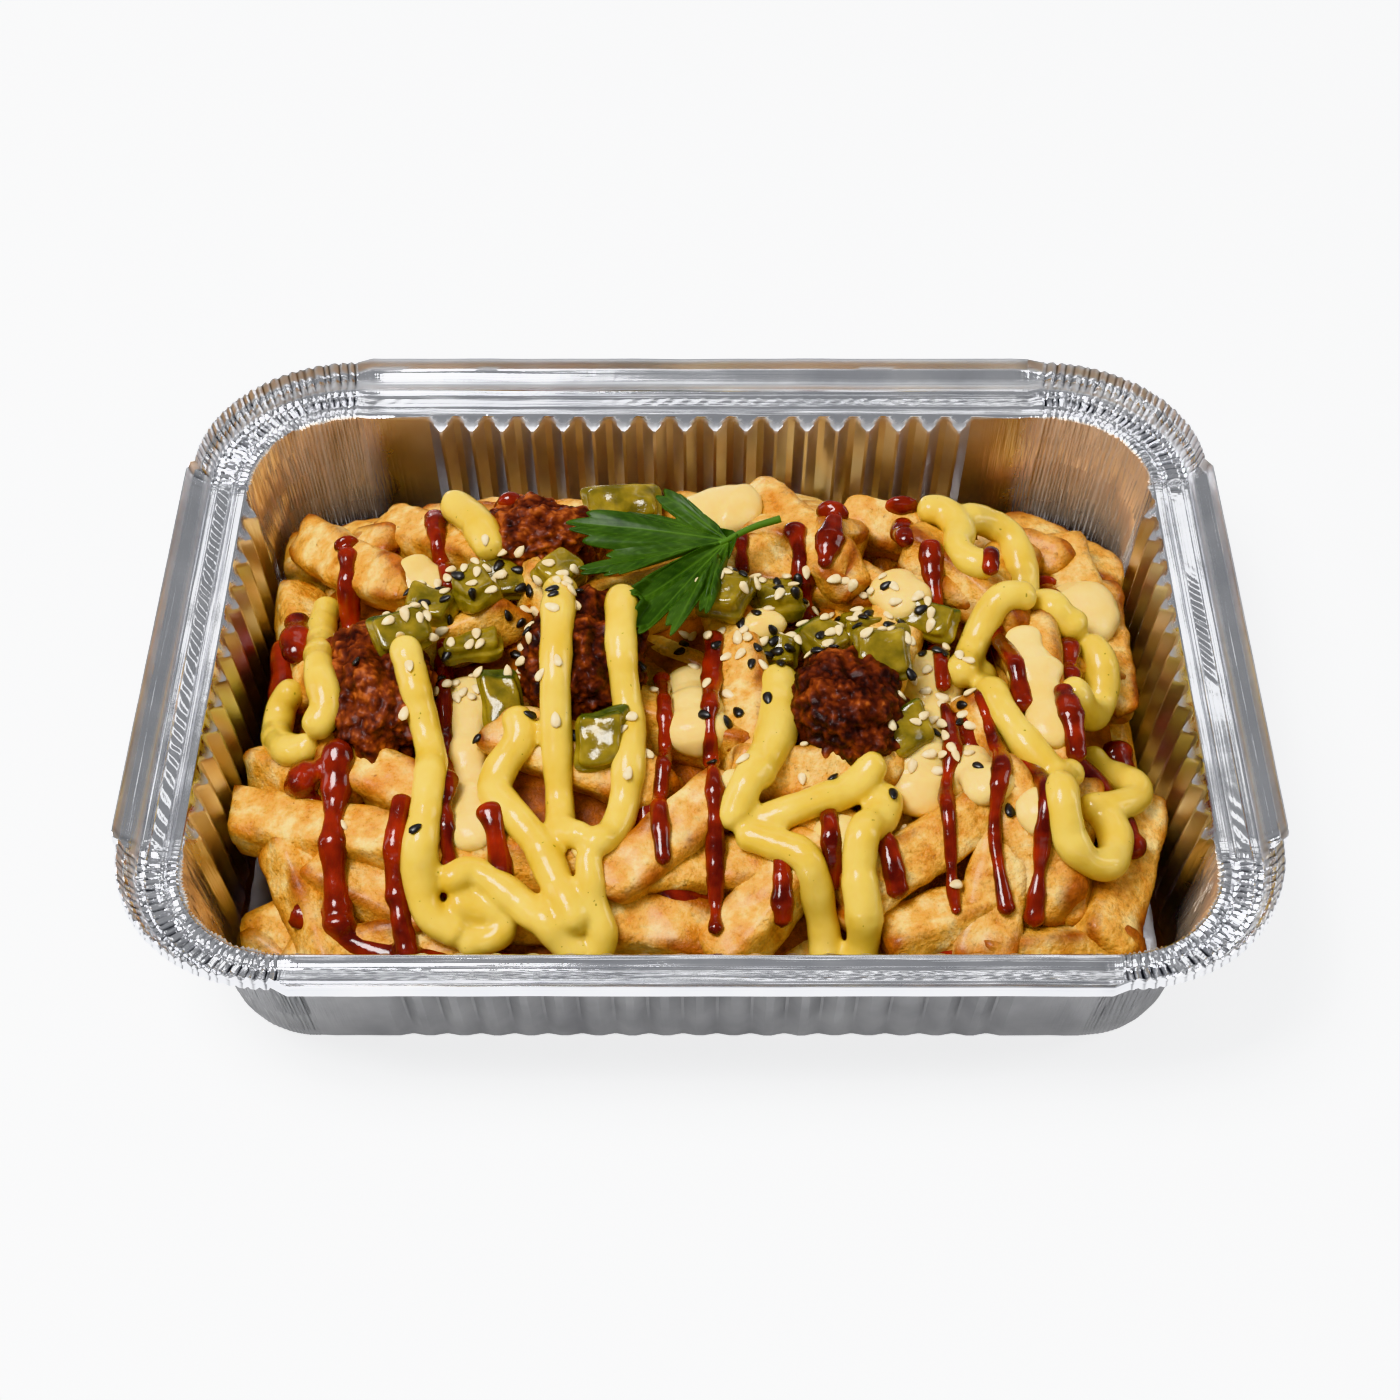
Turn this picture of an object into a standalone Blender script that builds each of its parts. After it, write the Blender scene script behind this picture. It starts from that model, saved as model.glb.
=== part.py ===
"""A takeaway meal in a foil tray: fries, crumbed chicken, pickle dice, sauces, sesame and parsley.

Units are metres, +Z is up, and the origin is the middle of the tray's base, on the table.
The tray is an open sheet given a thickness. The fries, the thick sauces and the seeds on them
are fused into one heap. Chicken, pickle and parsley are solids of their own that rest on the heap.
"""

import math
import random

import bmesh
import bpy
from mathutils import Matrix, Vector, noise
from mathutils.bvhtree import BVHTree

MM = 0.001

# Driving dimensions of the tray
TRAY_LENGTH = 227 * MM
TRAY_WIDTH = 177 * MM
RIM_RUN = 12.8 * MM
CAVITY_TOP = 35.5 * MM
CAVITY_CORNER = 22 * MM
BASE_INSET = 5.2 * MM
BASE_CORNER = 20 * MM
FOIL = 0.4 * MM
FLUTE_PITCH = 7.0 * MM
FLUTE_DEPTH = 2.2 * MM
FLUTE_FOOT = 0.8
FLUTE_DROP = 1.7 * MM
FLUTES_LONG = 18
FLUTES_SHORT = 14
CORNER_STEPS = 14
CRIMP = 0.45 * MM
HEM_STEP = 1.4 * MM

# The rim's section: distance out from the cavity's edge, height above it, share of the crimp
RIM_SECTION = (
    (0.6 * MM, 0.6 * MM, 0.3),
    (2.4 * MM, 0.3 * MM, 0.6),
    (6.6 * MM, 1.0 * MM, 1.0),
    (8.5 * MM, 1.5 * MM, 0.8),
    (11.6 * MM, 5.8 * MM, 1.0),
    (12.4 * MM, 7.1 * MM, 1.0),
    (12.8 * MM, 4.4 * MM, 0.8),
)

# Driving dimensions of the food
FRY_THICKNESS = 12.5 * MM
HEAP_EDGE = 16 * MM
HEAP_RISE = 28 * MM
HEAP_HALF_LENGTH = 100 * MM
HEAP_CREST = 8 * MM
HEAP_FRONT = 80 * MM
HEAP_BACK = 54 * MM
CORE_DEPTH = 9 * MM
CORE_HALF_LENGTH = 88 * MM
CORE_HALF_WIDTH = 62 * MM
CORE_BACK = -4 * MM
CORE_STEPS = 28
CORE_SQUARENESS = 0.55
MAYO_RADIUS = 3.5 * MM
CREAM_RADIUS = 5.5 * MM
RED_RADIUS = 2.1 * MM
CHICKEN_SINK = 4 * MM
PICKLE_LIFT = 0.4 * MM
PICKLE_NARROW = 0.8
CLEARANCE = 0.35 * MM

# A seed's size, how far it stands out of what it lies on, and the level room that it needs round it
SEED_LENGTH = 3.2 * MM
SEED_WIDTH = 0.6
SEED_HEIGHT = 0.4
SEED_LIFT = 0.08
SEED_ROOM = 0.62
SEED_STEEPEST = 0.5

# How the shapes of the fries vary: share of the thickness across and in height, roll in degrees, taper
FRY_WIDTHS = (0.9, 1.1)
FRY_HEIGHTS = (0.85, 1.05)
FRY_ROLLS = (-35, 35)
FRY_TAPERS = (0.78, 0.95)
FRY_CHAMFER = 0.24

# How each sauce is laid: spacing of its rings, and lift of its axis as a share of its radius
CREAM_LAID = (6 * MM, 0.1)
RED_LAID = (8 * MM, 0.25)
MAYO_LAID = (5.5 * MM, 0.6)
OVER_LAID = (6 * MM, 0.3)
TIP = 0.72

# Share of the faces kept after the heap is joined, the height that rays start from, and the fixed draw
SIMPLER = 0.38
RAY_TOP = 0.2
SEED = 7

# Fries that show, in millimetres and degrees: x, y, heading, length, depth of the axis below the heap's top
FRIES = (
    (-74, -36, -22, 54, 4), (-41, -45, -7, 44, 8), (-78, -49, -66, 36, 9), (-65, -49, -30, 30, 10),
    (-60, -58, 3, 34, 12), (-63, -28, -34, 34, 7), (-6, -43, 39, 36, 5), (2, -48, 2, 40, 9),
    (-10, -58, -7, 36, 8), (13, -55, 46, 31, 5), (43, -46, 33, 37, 6), (49, -57, 21, 28, 7),
    (58, -53, 77, 30, 6), (65, -42, -62, 32, 5), (74, -42, 77, 34, 9), (70, -60, 10, 32, 7),
    (85, -43, 72, 42, 6), (27, 49, -80, 48, 5), (44, 41, -9, 30, 6), (6, 42, -34, 36, 6),
    (-76, 37, -52, 46, 5), (-57, 41, -44, 40, 6), (-34, 48, -20, 38, 8), (57, 21, -43, 34, 5),
    (77, 8, 3, 28, 8), (88, 17, -88, 38, 7), (8, -5, -85, 40, 9), (-24, -26, -25, 40, 9),
    (71, -6, -87, 44, 6), (22, -27, 4, 36, 9), (29, -44, -30, 30, 8), (84, 32, -80, 34, 8),
    (-80, -21, -37, 34, 9), (62, -24, -68, 30, 9), (-4, -17, -17, 34, 10), (-40, -53, 1, 40, 12),
    (-86, 20, -75, 44, 11), (62, 30, 53, 34, 8), (-58, 8, 20, 40, 9), (40, 6, 70, 38, 10),
    (-8, 20, 25, 36, 9), (24, 24, -20, 36, 9), (-30, 18, -60, 34, 10),
)

# Fries on the back slope, laid by a rule: how many, where, and the ranges that they are drawn from
BACK_FRIES = 11
BACK_SPAN = 82
BACK_ROW = 50
BACK_SHIFTS = (-4, 2)
BACK_HEADINGS = (-50, 50)
BACK_LENGTHS = (26, 36)
BACK_SINK = 9

# Pale sauce lobes: x, y points of each lobe's spine, and its width as a share of CREAM_RADIUS
CREAM = (
    (1.25, ((-64, 27), (-58, 19), (-64, 14))),
    (0.85, ((-49, 0), (-48, -14), (-47, -27), (-46, -38), (-43, -47))),
    (0.95, ((-2, 2), (-1, -13), (0, -26))),
    (1.10, ((38, 20), (43, 14), (47, 10))),
    (0.95, ((47, 1), (48, -12), (47, -25), (52, -33))),
    (0.95, ((30, -41), (26, -50))),
    (0.75, ((67, 7), (70, -10), (72, -25))),
    (0.95, ((81, 24), (84, 15))),
    (0.90, ((67, -36), (69, -47))),
    (0.60, ((9, -34), (5, -38))),
    (0.60, ((-24, -45), (-20, -50))),
)

# Yellow sauce strands: radius at the start and the end as shares of MAYO_RADIUS, then x, y points
MAYO = (
    (1.0, 0.95, ((-82, 30), (-82, 19), (-80, 6), (-78, -8), (-76, -16), (-79, -22))),
    (1.0, 0.95, ((-78, -21), (-84, -19), (-89, -9), (-89, 0), (-85, 2))),
    (1.0, 0.95, ((-61, -3), (-58, -13), (-54, -27), (-54, -40), (-55, -51), (-53, -58), (-46, -62))),
    (0.95, 0.9, ((-48, -62), (-41, -61), (-39, -58), (-44, -56), (-50, -55))),
    (0.9, 1.0, ((-51, -54), (-45, -50), (-38, -54), (-32, -59), (-26, -64), (-21, -66))),
    (
        1.05,
        0.95,
        ((-38, -18), (-36, -24), (-40, -29), (-41, -34), (-37, -40), (-31, -48), (-27, -56), (-23, -64)),
    ),
    (1.05, 0.85, ((-29, 12), (-29, -4), (-29, -20), (-28, -36), (-27, -43), (-22, -48))),
    (1.0, 0.85, ((-16, 8), (-16, -8), (-14, -24), (-15, -38), (-18, -46), (-23, -50))),
    (0.75, 1.0, ((-22, -49), (-21, -57), (-19, -63), (-22, -66))),
    (1.45, 0.95, ((16, -4), (16, -18), (14, -28), (10, -36), (7, -42), (8, -45))),
    (0.95, 0.95, ((7, -43), (15, -42), (24, -39), (31, -35), (36, -30))),
    (0.95, 1.0, ((7, -45), (14, -48), (20, -51), (24, -58), (25, -65))),
    (0.95, 1.05, ((25, -65), (29, -66), (32, -62), (31, -54), (32, -47), (36, -40), (37, -33))),
    (1.0, 1.0, ((47, 39), (53, 39), (56, 33), (55, 26), (58, 21), (63, 21))),
    (1.0, 1.05, ((54, 33), (58, 38), (63, 40), (68, 38), (70, 31), (71, 22), (75, 14), (82, 10))),
    (1.05, 1.0, ((82, 11), (85, 4), (84, -4), (80, -9), (75, -9))),
    (0.95, 0.95, ((53, -8), (55, -2), (58, 6), (63, 12), (71, 14))),
    (0.95, 0.95, ((59, 3), (59, -6), (61, -16), (66, -25), (72, -32))),
    (0.9, 1.0, ((81, -11), (84, -17), (88, -23), (89, -29), (84, -33), (76, -35))),
    (0.9, 1.0, ((77, -28), (73, -31), (71, -39), (72, -47), (76, -50), (81, -48), (83, -41), (81, -34))),
    (1.2, 1.0, ((-57, 43), (-53, 42), (-48, 34), (-44, 24))),
)

# Dark red sauce runs: width as a share of RED_RADIUS, then x, y points
RED_RUNS = (
    (1.5, ((-78, 38), (-77, 34))), (0.9, ((-77, 34), (-76, 20), (-75, 9))), (1.2, ((-88, 22), (-86, 8))),
    (1.3, ((-84, -26), (-74, -28))), (1.25, ((-73, -25), (-73, -42), (-71, -58))),
    (1.1, ((-59, -39), (-60, -50), (-58, -63))), (0.9, ((-54, 2), (-52, -22), (-50, -44), (-49, -52))),
    (1.0, ((-42, -42), (-38, -53))), (1.2, ((-59, 44), (-56, 30), (-53, 21))), (1.9, ((-42, 45), (-41, 38))),
    (0.85, ((3, 3), (2, -20), (3, -42), (3, -63))), (0.85, ((-8, -3), (-7, -24), (-8, -40), (-7, -51))),
    (0.9, ((9, 33), (9, 24))), (1.1, ((20, 31), (23, 14))), (1.9, ((29, 35), (28, 31))),
    (1.0, ((29, 31), (26, 20))), (1.0, ((44, 38), (44, 28))), (0.9, ((49, 25), (50, 8))),
    (1.5, ((76, 35), (76, 31))), (1.0, ((76, 30), (77, 18))), (0.9, ((65, 7), (66, -14))),
    (0.9, ((78, 7), (77, -4))), (1.0, ((74, -12), (76, -27))), (0.9, ((51, -24), (50, -45), (51, -58))),
    (1.0, ((57, -23), (57, -44), (59, -58))), (1.0, ((64, -24), (65, -46), (63, -59))),
    (0.9, ((36, -46), (39, -55))), (0.9, ((25, -40), (26, -52))), (0.9, ((16, -51), (16, -60))),
    (1.3, ((88, -6), (90, -12))), (1.6, ((-70, -60), (-56, -64))), (1.6, ((-44, -64), (-36, -64))),
    (1.6, ((52, -63), (60, -61))), (1.2, ((86, -34), (87, -42))),
)

# Dark red runs that lie over the yellow sauce
RED_OVER = (
    (2.1, ((44, 43), (44, 39))), (1.0, ((62, 28), (61, 16))),
)

# Crumbed chicken: x, y, size along x, y and z, turn
CHICKEN = (
    (-67, -8, 24, 36, 20, 12), (-24, -3, 25, 32, 20, -10), (30, -17, 24, 28, 20, 15),
    (-35, 33, 27, 20, 17, -5),
)

# Pickle pieces: x, y, length, width, thickness, turn, tilt
PICKLES = (
    (-61, -1, 12, 9, 5, 20, 25), (-57, 12, 11, 8, 6, -15, 18), (-48, 15, 9, 9, 7, 35, -20),
    (-42, 22, 11, 9, 5, 5, 15), (-48, 3, 13, 7, 5, 10, -15), (-40, -15, 8, 14, 4, 12, 30),
    (-20, -27, 10, 12, 5, -5, 35), (-17, 44, 16, 10, 5, 8, 20), (5, 10, 10, 11, 7, -25, 10),
    (16, 15, 10, 9, 7, 15, -12), (15, 1, 11, 7, 5, -5, 28), (26, 3, 9, 10, 6, 40, 15),
    (34, 9, 10, 9, 5, 15, -25), (37, -8, 11, 11, 5, 0, 30), (42, -22, 11, 11, 9, 25, 25),
    (47, 8, 12, 8, 5, -30, 20), (-29, 18, 9, 9, 6, 50, 10),
)

# Sesame patches: x, y, half length, half width, seeds
SESAME = (
    (-45, 8, 20, 16, 20), (22, 6, 24, 12, 22), (48, -12, 6, 16, 16), (-8, -22, 26, 10, 6),
    (40, -38, 30, 16, 5),
)

# Parsley: the point where its leaflets meet, the stem's end, and its outline as headings and reaches
# from that point, tooth by tooth
LEAF_BASE = (6, 23)
LEAF_STEM = (17, 28)
LEAF_OUTLINE = (
    (20, 2), (70, 3), (120, 4), (130, 18), (136, 22), (144, 18), (151, 25), (157, 21), (161, 28),
    (165, 27), (170, 36), (175, 33), (179, 33), (184, 26), (189, 33), (197, 34), (201, 29), (206, 30),
    (210, 20), (213, 9), (217, 24), (221, 25), (225, 30), (228, 27), (232, 34), (236, 35), (239, 40),
    (242, 34), (245, 30), (247, 20), (250, 26), (254, 26), (258, 24), (262, 23), (264, 14), (267, 11),
    (272, 4), (320, 2),
)
LEAF_THICKNESS = 0.5 * MM
LEAF_REACH = 2 * MM
LEAF_HEIGHT = 47 * MM
LEAF_LIFT = 1.2 * MM
LEAF_WAVE = 1.3 * MM

# Materials: colour, roughness, metallic
LOOKS = {
    "foil": ((0.80, 0.80, 0.81), 0.25, 1.0),
    "fried_potato": ((0.80, 0.52, 0.20), 0.55, 0.0),
    "crumb": ((0.22, 0.07, 0.02), 0.75, 0.0),
    "pickle": ((0.30, 0.28, 0.04), 0.30, 0.0),
    "parsley": ((0.04, 0.17, 0.03), 0.45, 0.0),
}


def material(name):
    """A Principled BSDF material of that name, made once."""
    found = bpy.data.materials.get(name)
    if found:
        return found
    colour, roughness, metallic = LOOKS[name]
    made = bpy.data.materials.new(name)
    made.use_nodes = True
    shader = made.node_tree.nodes["Principled BSDF"]
    shader.inputs["Base Color"].default_value = (*colour, 1)
    shader.inputs["Roughness"].default_value = roughness
    shader.inputs["Metallic"].default_value = metallic
    return made


def paint(obj, name):
    """Gives the whole object one material."""
    obj.data.materials.clear()
    obj.data.materials.append(material(name))
    for face in obj.data.polygons:
        face.material_index = 0


def collection(name):
    """A new collection in the scene."""
    made = bpy.data.collections.new(name)
    bpy.context.scene.collection.children.link(made)
    return made


def new_object(name, mesh, home):
    """A new object with that mesh or curve, in the collection home."""
    made = bpy.data.objects.new(name, mesh)
    home.objects.link(made)
    return made


def from_bmesh(name, bm, home):
    """A new object from an edit mesh, which is freed."""
    mesh = bpy.data.meshes.new(name)
    bm.to_mesh(mesh)
    bm.free()
    return new_object(name, mesh, home)


def bake(obj):
    """Replaces the object's mesh with its evaluated one, so that no modifier is left."""
    bpy.context.view_layer.update()
    graph = bpy.context.evaluated_depsgraph_get()
    mesh = bpy.data.meshes.new_from_object(obj.evaluated_get(graph))
    obj.modifiers.clear()
    obj.data = mesh
    return obj


def as_mesh(curve_obj, home):
    """The curve's evaluated tube as a welded mesh object. The curve is removed."""
    bpy.context.view_layer.update()
    graph = bpy.context.evaluated_depsgraph_get()
    mesh = bpy.data.meshes.new_from_object(curve_obj.evaluated_get(graph))
    made = new_object(curve_obj.name + "_mesh", mesh, home)
    made.matrix_world = curve_obj.matrix_world
    bpy.data.objects.remove(curve_obj)
    bm = bmesh.new()
    bm.from_mesh(mesh)
    bmesh.ops.remove_doubles(bm, verts=bm.verts, dist=0.01 * MM)
    bmesh.ops.recalc_face_normals(bm, faces=bm.faces)
    bm.to_mesh(mesh)
    bm.free()
    return made


def boolean(obj, others, operation):
    """Joins a collection to the object, or cuts it from the object, and removes the collection's objects."""
    if not others.objects:
        return obj
    modifier = obj.modifiers.new(operation.lower(), "BOOLEAN")
    modifier.operation = operation
    modifier.solver = "MANIFOLD"
    modifier.operand_type = "COLLECTION"
    modifier.collection = others
    bake(obj)
    for other in list(others.objects):
        bpy.data.objects.remove(other)
    return obj


def simplify(obj, share):
    """Collapses the short edges that a union leaves, until that share of the faces is left."""
    fewer = obj.modifiers.new("simplify", "DECIMATE")
    fewer.ratio = share
    return bake(obj)


def keep_largest(obj):
    """Drops the loose scraps that a cut leaves, and keeps the biggest body."""
    bm = bmesh.new()
    bm.from_mesh(obj.data)
    left = set(bm.verts)
    bodies = []
    while left:
        body = {left.pop()}
        front = list(body)
        while front:
            for edge in front.pop().link_edges:
                for vert in edge.verts:
                    if vert in left:
                        left.remove(vert)
                        body.add(vert)
                        front.append(vert)
        bodies.append(body)
    bodies.sort(key=len)
    for body in bodies[:-1]:
        bmesh.ops.delete(bm, geom=list(body), context="VERTS")
    bm.to_mesh(obj.data)
    bm.free()
    return obj


# The tray


def corner_arc(half_x, half_y, radius, turn):
    """Points round one corner of a rounded rectangle, with the corner's own directions out."""
    centre = Vector((half_x - radius, half_y - radius))
    quarter = Matrix.Rotation(math.radians(90 * turn), 2)
    if turn % 2:
        centre = Vector((half_y - radius, half_x - radius))
    arc = []
    for step in range(CORNER_STEPS + 1):
        angle = math.radians(90) * step / CORNER_STEPS
        out = Vector((math.cos(angle), math.sin(angle)))
        arc.append((quarter @ (centre + out * radius), quarter @ out))
    return arc


def cavity_ring(bm, half_x, half_y, radius, height, wave):
    """One ring of the cavity, with wave pulling the corners' points in by turns. Returns the four arcs."""
    arcs = []
    for turn in range(4):
        arc = []
        for step, (point, out) in enumerate(corner_arc(half_x, half_y, radius, turn)):
            inside = 0 < step < CORNER_STEPS
            point = point - out * (wave if inside and step % 2 else 0)
            arc.append(bm.verts.new((point.x, point.y, height)))
        arcs.append(arc)
    return arcs


def flute_points(bm, start, end, count, depth, height, drop):
    """A zigzag between two corners: outer points on the line, inner points inside and below it."""
    along = (end - start).normalized()
    inward = Vector((-along.y, along.x))
    middle = (start + end) / 2
    outer = []
    inner = []
    for number in range(count + 1):
        point = middle + along * FLUTE_PITCH * (number - count / 2)
        outer.append(bm.verts.new((point.x, point.y, height)))
    for number in range(count):
        point = middle + along * FLUTE_PITCH * (number + 0.5 - count / 2) + inward * depth
        inner.append(bm.verts.new((point.x, point.y, height - drop)))
    return outer, inner


def rim_ring(bm, run, rise, crimp, steps_out):
    """One ring of the rim: crimped round the corners, which stand back from the sides at the hem."""
    corners = []
    half_x = TRAY_LENGTH / 2 - RIM_RUN + run
    half_y = TRAY_WIDTH / 2 - RIM_RUN + run
    for turn in range(4):
        arc = []
        for step, (point, out) in enumerate(corner_arc(half_x, half_y, CAVITY_CORNER + run, turn)):
            end = step in (0, CORNER_STEPS)
            pull = 0 if end else steps_out
            ripple = 0 if end else CRIMP * crimp * (1 if step % 2 else -1)
            point = point - out * (pull + ripple * 0.4)
            arc.append(bm.verts.new((point.x, point.y, CAVITY_TOP + rise + ripple)))
        corners.append(arc)
    return corners


def flat_base(obj):
    """Levels both sides of the base, which the thickening leaves uneven where the walls lean on it."""
    for vert in obj.data.vertices:
        if vert.co.z < FOIL / 2:
            vert.co.z = 0
        elif vert.co.z < FOIL * 1.5:
            vert.co.z = FOIL


def tray(home):
    """The foil tray: a sheet of base, fluted wall and rim, thickened outwards, so its base is at zero."""
    bm = bmesh.new()
    top_x = TRAY_LENGTH / 2 - RIM_RUN
    top_y = TRAY_WIDTH / 2 - RIM_RUN
    top = cavity_ring(bm, top_x, top_y, CAVITY_CORNER, CAVITY_TOP, 0)
    low = cavity_ring(bm, top_x - BASE_INSET, top_y - BASE_INSET, BASE_CORNER, FOIL, CRIMP)
    rings = [top]
    for run, rise, crimp in RIM_SECTION:
        hem = HEM_STEP if run > RIM_SECTION[3][0] else 0
        rings.append(rim_ring(bm, run, rise, crimp, hem))
    base = []
    for turn in range(4):
        ahead = (turn + 1) % 4
        count = FLUTES_SHORT if turn % 2 else FLUTES_LONG
        start = top[turn][-1].co.xy
        end = top[ahead][0].co.xy
        outer, inner = flute_points(bm, start, end, count, FLUTE_DEPTH, CAVITY_TOP, FLUTE_DROP)
        start = low[turn][-1].co.xy
        end = low[ahead][0].co.xy
        low_outer, low_inner = flute_points(bm, start, end, count, FLUTE_DEPTH * FLUTE_FOOT, FOIL, 0)
        wall_top = [top[turn][-1], outer[0]]
        wall_low = [low[turn][-1], low_outer[0]]
        for number in range(count):
            bm.faces.new((outer[number], inner[number], outer[number + 1]))
            wall_top += [inner[number], outer[number + 1]]
            wall_low += [low_inner[number], low_outer[number + 1]]
        wall_top.append(top[ahead][0])
        wall_low.append(low[ahead][0])
        for ring_top, ring_low in ((top[turn], low[turn]), (wall_top, wall_low)):
            for i in range(len(ring_top) - 1):
                bm.faces.new((ring_low[i], ring_low[i + 1], ring_top[i + 1], ring_top[i]))
        base += low[turn] + wall_low[1:-1]
        # The straight side of the bead joins a many-pointed edge to a plain one.
        bm.faces.new([top[turn][-1], *outer, top[ahead][0], rings[1][ahead][0], rings[1][turn][-1]])
        for inside, outside in zip(rings, rings[1:]):
            for i in range(CORNER_STEPS):
                bm.faces.new((inside[turn][i], inside[turn][i + 1], outside[turn][i + 1], outside[turn][i]))
        for inside, outside in zip(rings[1:], rings[2:]):
            bm.faces.new((inside[turn][-1], inside[ahead][0], outside[ahead][0], outside[turn][-1]))
    bm.faces.new(base)
    bmesh.ops.recalc_face_normals(bm, faces=bm.faces)
    made = from_bmesh("tray", bm, home)
    thick = made.modifiers.new("foil", "SOLIDIFY")
    thick.thickness = FOIL
    thick.offset = -1
    thick.use_even_offset = True
    bake(made)
    flat_base(made)
    paint(made, "foil")
    return made


# The heap


def heap_top(x, y):
    """Height of the heap of fries over a point of the base."""
    reach = HEAP_BACK if y > HEAP_CREST else HEAP_FRONT
    power = 4 if y > HEAP_CREST else 2.8
    along = min(1, (abs(x) / HEAP_HALF_LENGTH) ** 4)
    across = min(1, (abs(y - HEAP_CREST) / reach) ** power)
    return HEAP_EDGE + HEAP_RISE * (1 - along) * (1 - across)


def core(home):
    """The hidden middle of the heap: rounded rings that follow the heap's top, a fry's depth below it."""
    bm = bmesh.new()
    rings = []
    for number, share in enumerate((0.94, 1.0, 0.82, 0.6, 0.3)):
        ring = []
        for step in range(CORE_STEPS):
            angle = 2 * math.pi * step / CORE_STEPS
            across = math.copysign(abs(math.cos(angle)) ** CORE_SQUARENESS, math.cos(angle))
            along = math.copysign(abs(math.sin(angle)) ** CORE_SQUARENESS, math.sin(angle))
            x = CORE_HALF_LENGTH * share * across
            y = CORE_HALF_WIDTH * share * along + CORE_BACK
            z = heap_top(x, y) - CORE_DEPTH if number else FOIL + CLEARANCE
            ring.append(bm.verts.new((x, y, z)))
        rings.append(ring)
    for low, high in zip(rings, rings[1:]):
        for i in range(CORE_STEPS):
            j = (i + 1) % CORE_STEPS
            bm.faces.new((low[i], low[j], high[j], high[i]))
    bm.faces.new(rings[0][::-1])
    bm.faces.new(rings[-1])
    bmesh.ops.triangulate(bm, faces=bm.faces)
    return from_bmesh("fries", bm, home)


def fry(number, x, y, heading, length, sink, home):
    """One cut fry: a chamfered bar that follows the slope of the heap."""
    draw = random.Random(SEED + number)
    width = FRY_THICKNESS * draw.uniform(*FRY_WIDTHS)
    height = FRY_THICKNESS * draw.uniform(*FRY_HEIGHTS)
    roll = draw.uniform(*FRY_ROLLS)
    direction = Vector((math.cos(math.radians(heading)), math.sin(math.radians(heading)), 0))
    centre = Vector((x, y, 0)) * MM
    ends = []
    for side in (-1, 1):
        end = centre + direction * side * (length * MM / 2 - width / 2)
        ends.append(Vector((end.x, end.y, heap_top(end.x, end.y) - sink * MM)))
    axis = ends[1] - ends[0]
    bm = bmesh.new()
    bmesh.ops.create_cube(bm, size=1)
    taper = draw.uniform(*FRY_TAPERS)
    for vert in bm.verts:
        share = taper if vert.co.x > 0 else 1.0
        vert.co.y *= width * share
        vert.co.z *= height * share
        vert.co.x *= axis.length + width
    bmesh.ops.bevel(bm, geom=bm.edges, offset=width * FRY_CHAMFER, segments=1, affect="EDGES")
    bmesh.ops.triangulate(bm, faces=bm.faces)
    turn = axis.to_track_quat("X", "Z").to_matrix().to_4x4()
    bm.transform(
        Matrix.Translation((ends[0] + ends[1]) / 2) @ turn @ Matrix.Rotation(math.radians(roll), 4, "X")
    )
    return from_bmesh(f"fry_{number}", bm, home)


def back_fries():
    """The fries behind the crest, evenly spaced and turned by a fixed draw."""
    draw = random.Random(SEED + len(FRIES))
    for number in range(BACK_FRIES):
        x = BACK_SPAN * (2 * number / (BACK_FRIES - 1) - 1)
        y = BACK_ROW + draw.uniform(*BACK_SHIFTS)
        yield x, y, draw.uniform(*BACK_HEADINGS), draw.uniform(*BACK_LENGTHS), BACK_SINK


def smooth_route(points, step):
    """Points every step or so along a smooth curve through the route's own points."""
    route = [Vector((x * MM, y * MM)) for x, y in points]
    route = [route[0] * 2 - route[1], *route, route[-1] * 2 - route[-2]]
    found = []
    for a, b, c, d in zip(route, route[1:], route[2:], route[3:]):
        count = max(1, round((c - b).length / step))
        for number in range(count):
            t = number / count
            bend = (a * 2 - b * 5 + c * 4 - d) * t * t + (b * 3 - a - c * 3 + d) * t**3
            found.append((b * 2 + (c - a) * t + bend) / 2)
    found.append(route[-2])
    return found


def trees(objects):
    """A search tree of each object's faces, in world space."""
    graph = bpy.context.evaluated_depsgraph_get()
    found = []
    for obj in objects:
        mesh = obj.evaluated_get(graph).to_mesh()
        points = [obj.matrix_world @ vert.co for vert in mesh.vertices]
        found.append((obj, BVHTree.FromPolygons(points, [tuple(face.vertices) for face in mesh.polygons])))
    return found


def drop(supports, x, y):
    """What lies highest at a point of the plan: the height, the slope's normal and the object."""
    best = (HEAP_EDGE / 2, Vector((0, 0, 1)), None)
    for obj, tree in supports:
        hit, normal, _, _ = tree.ray_cast(Vector((x, y, RAY_TOP)), Vector((0, 0, -1)))
        if hit and hit.z > best[0]:
            best = (hit.z, normal, obj)
    return best


def draped(supports, route, lift):
    """The route laid on what carries it: it bridges hollows and never sinks below the lift."""
    floor = [drop(supports, point.x, point.y)[0] + lift for point in route]
    height = floor[:]
    for _ in range(4):
        for i in range(len(height)):
            near = height[max(0, i - 1) : i + 2]
            height[i] = max(floor[i], sum(near) / len(near))
    return [Vector((point.x, point.y, z)) for point, z in zip(route, height)]


def tube(name, path, radii, home, sides=1):
    """A tube along a path of points, with a radius at each."""
    curve = bpy.data.curves.new(name, "CURVE")
    curve.dimensions = "3D"
    curve.bevel_depth = 1
    curve.bevel_resolution = sides
    curve.use_fill_caps = True
    spline = curve.splines.new("POLY")
    spline.points.add(len(path) - 1)
    for knot, place, radius in zip(spline.points, path, radii):
        knot.co = (*place, 1)
        knot.radius = radius
    return as_mesh(new_object(name, curve, home), home)


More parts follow.
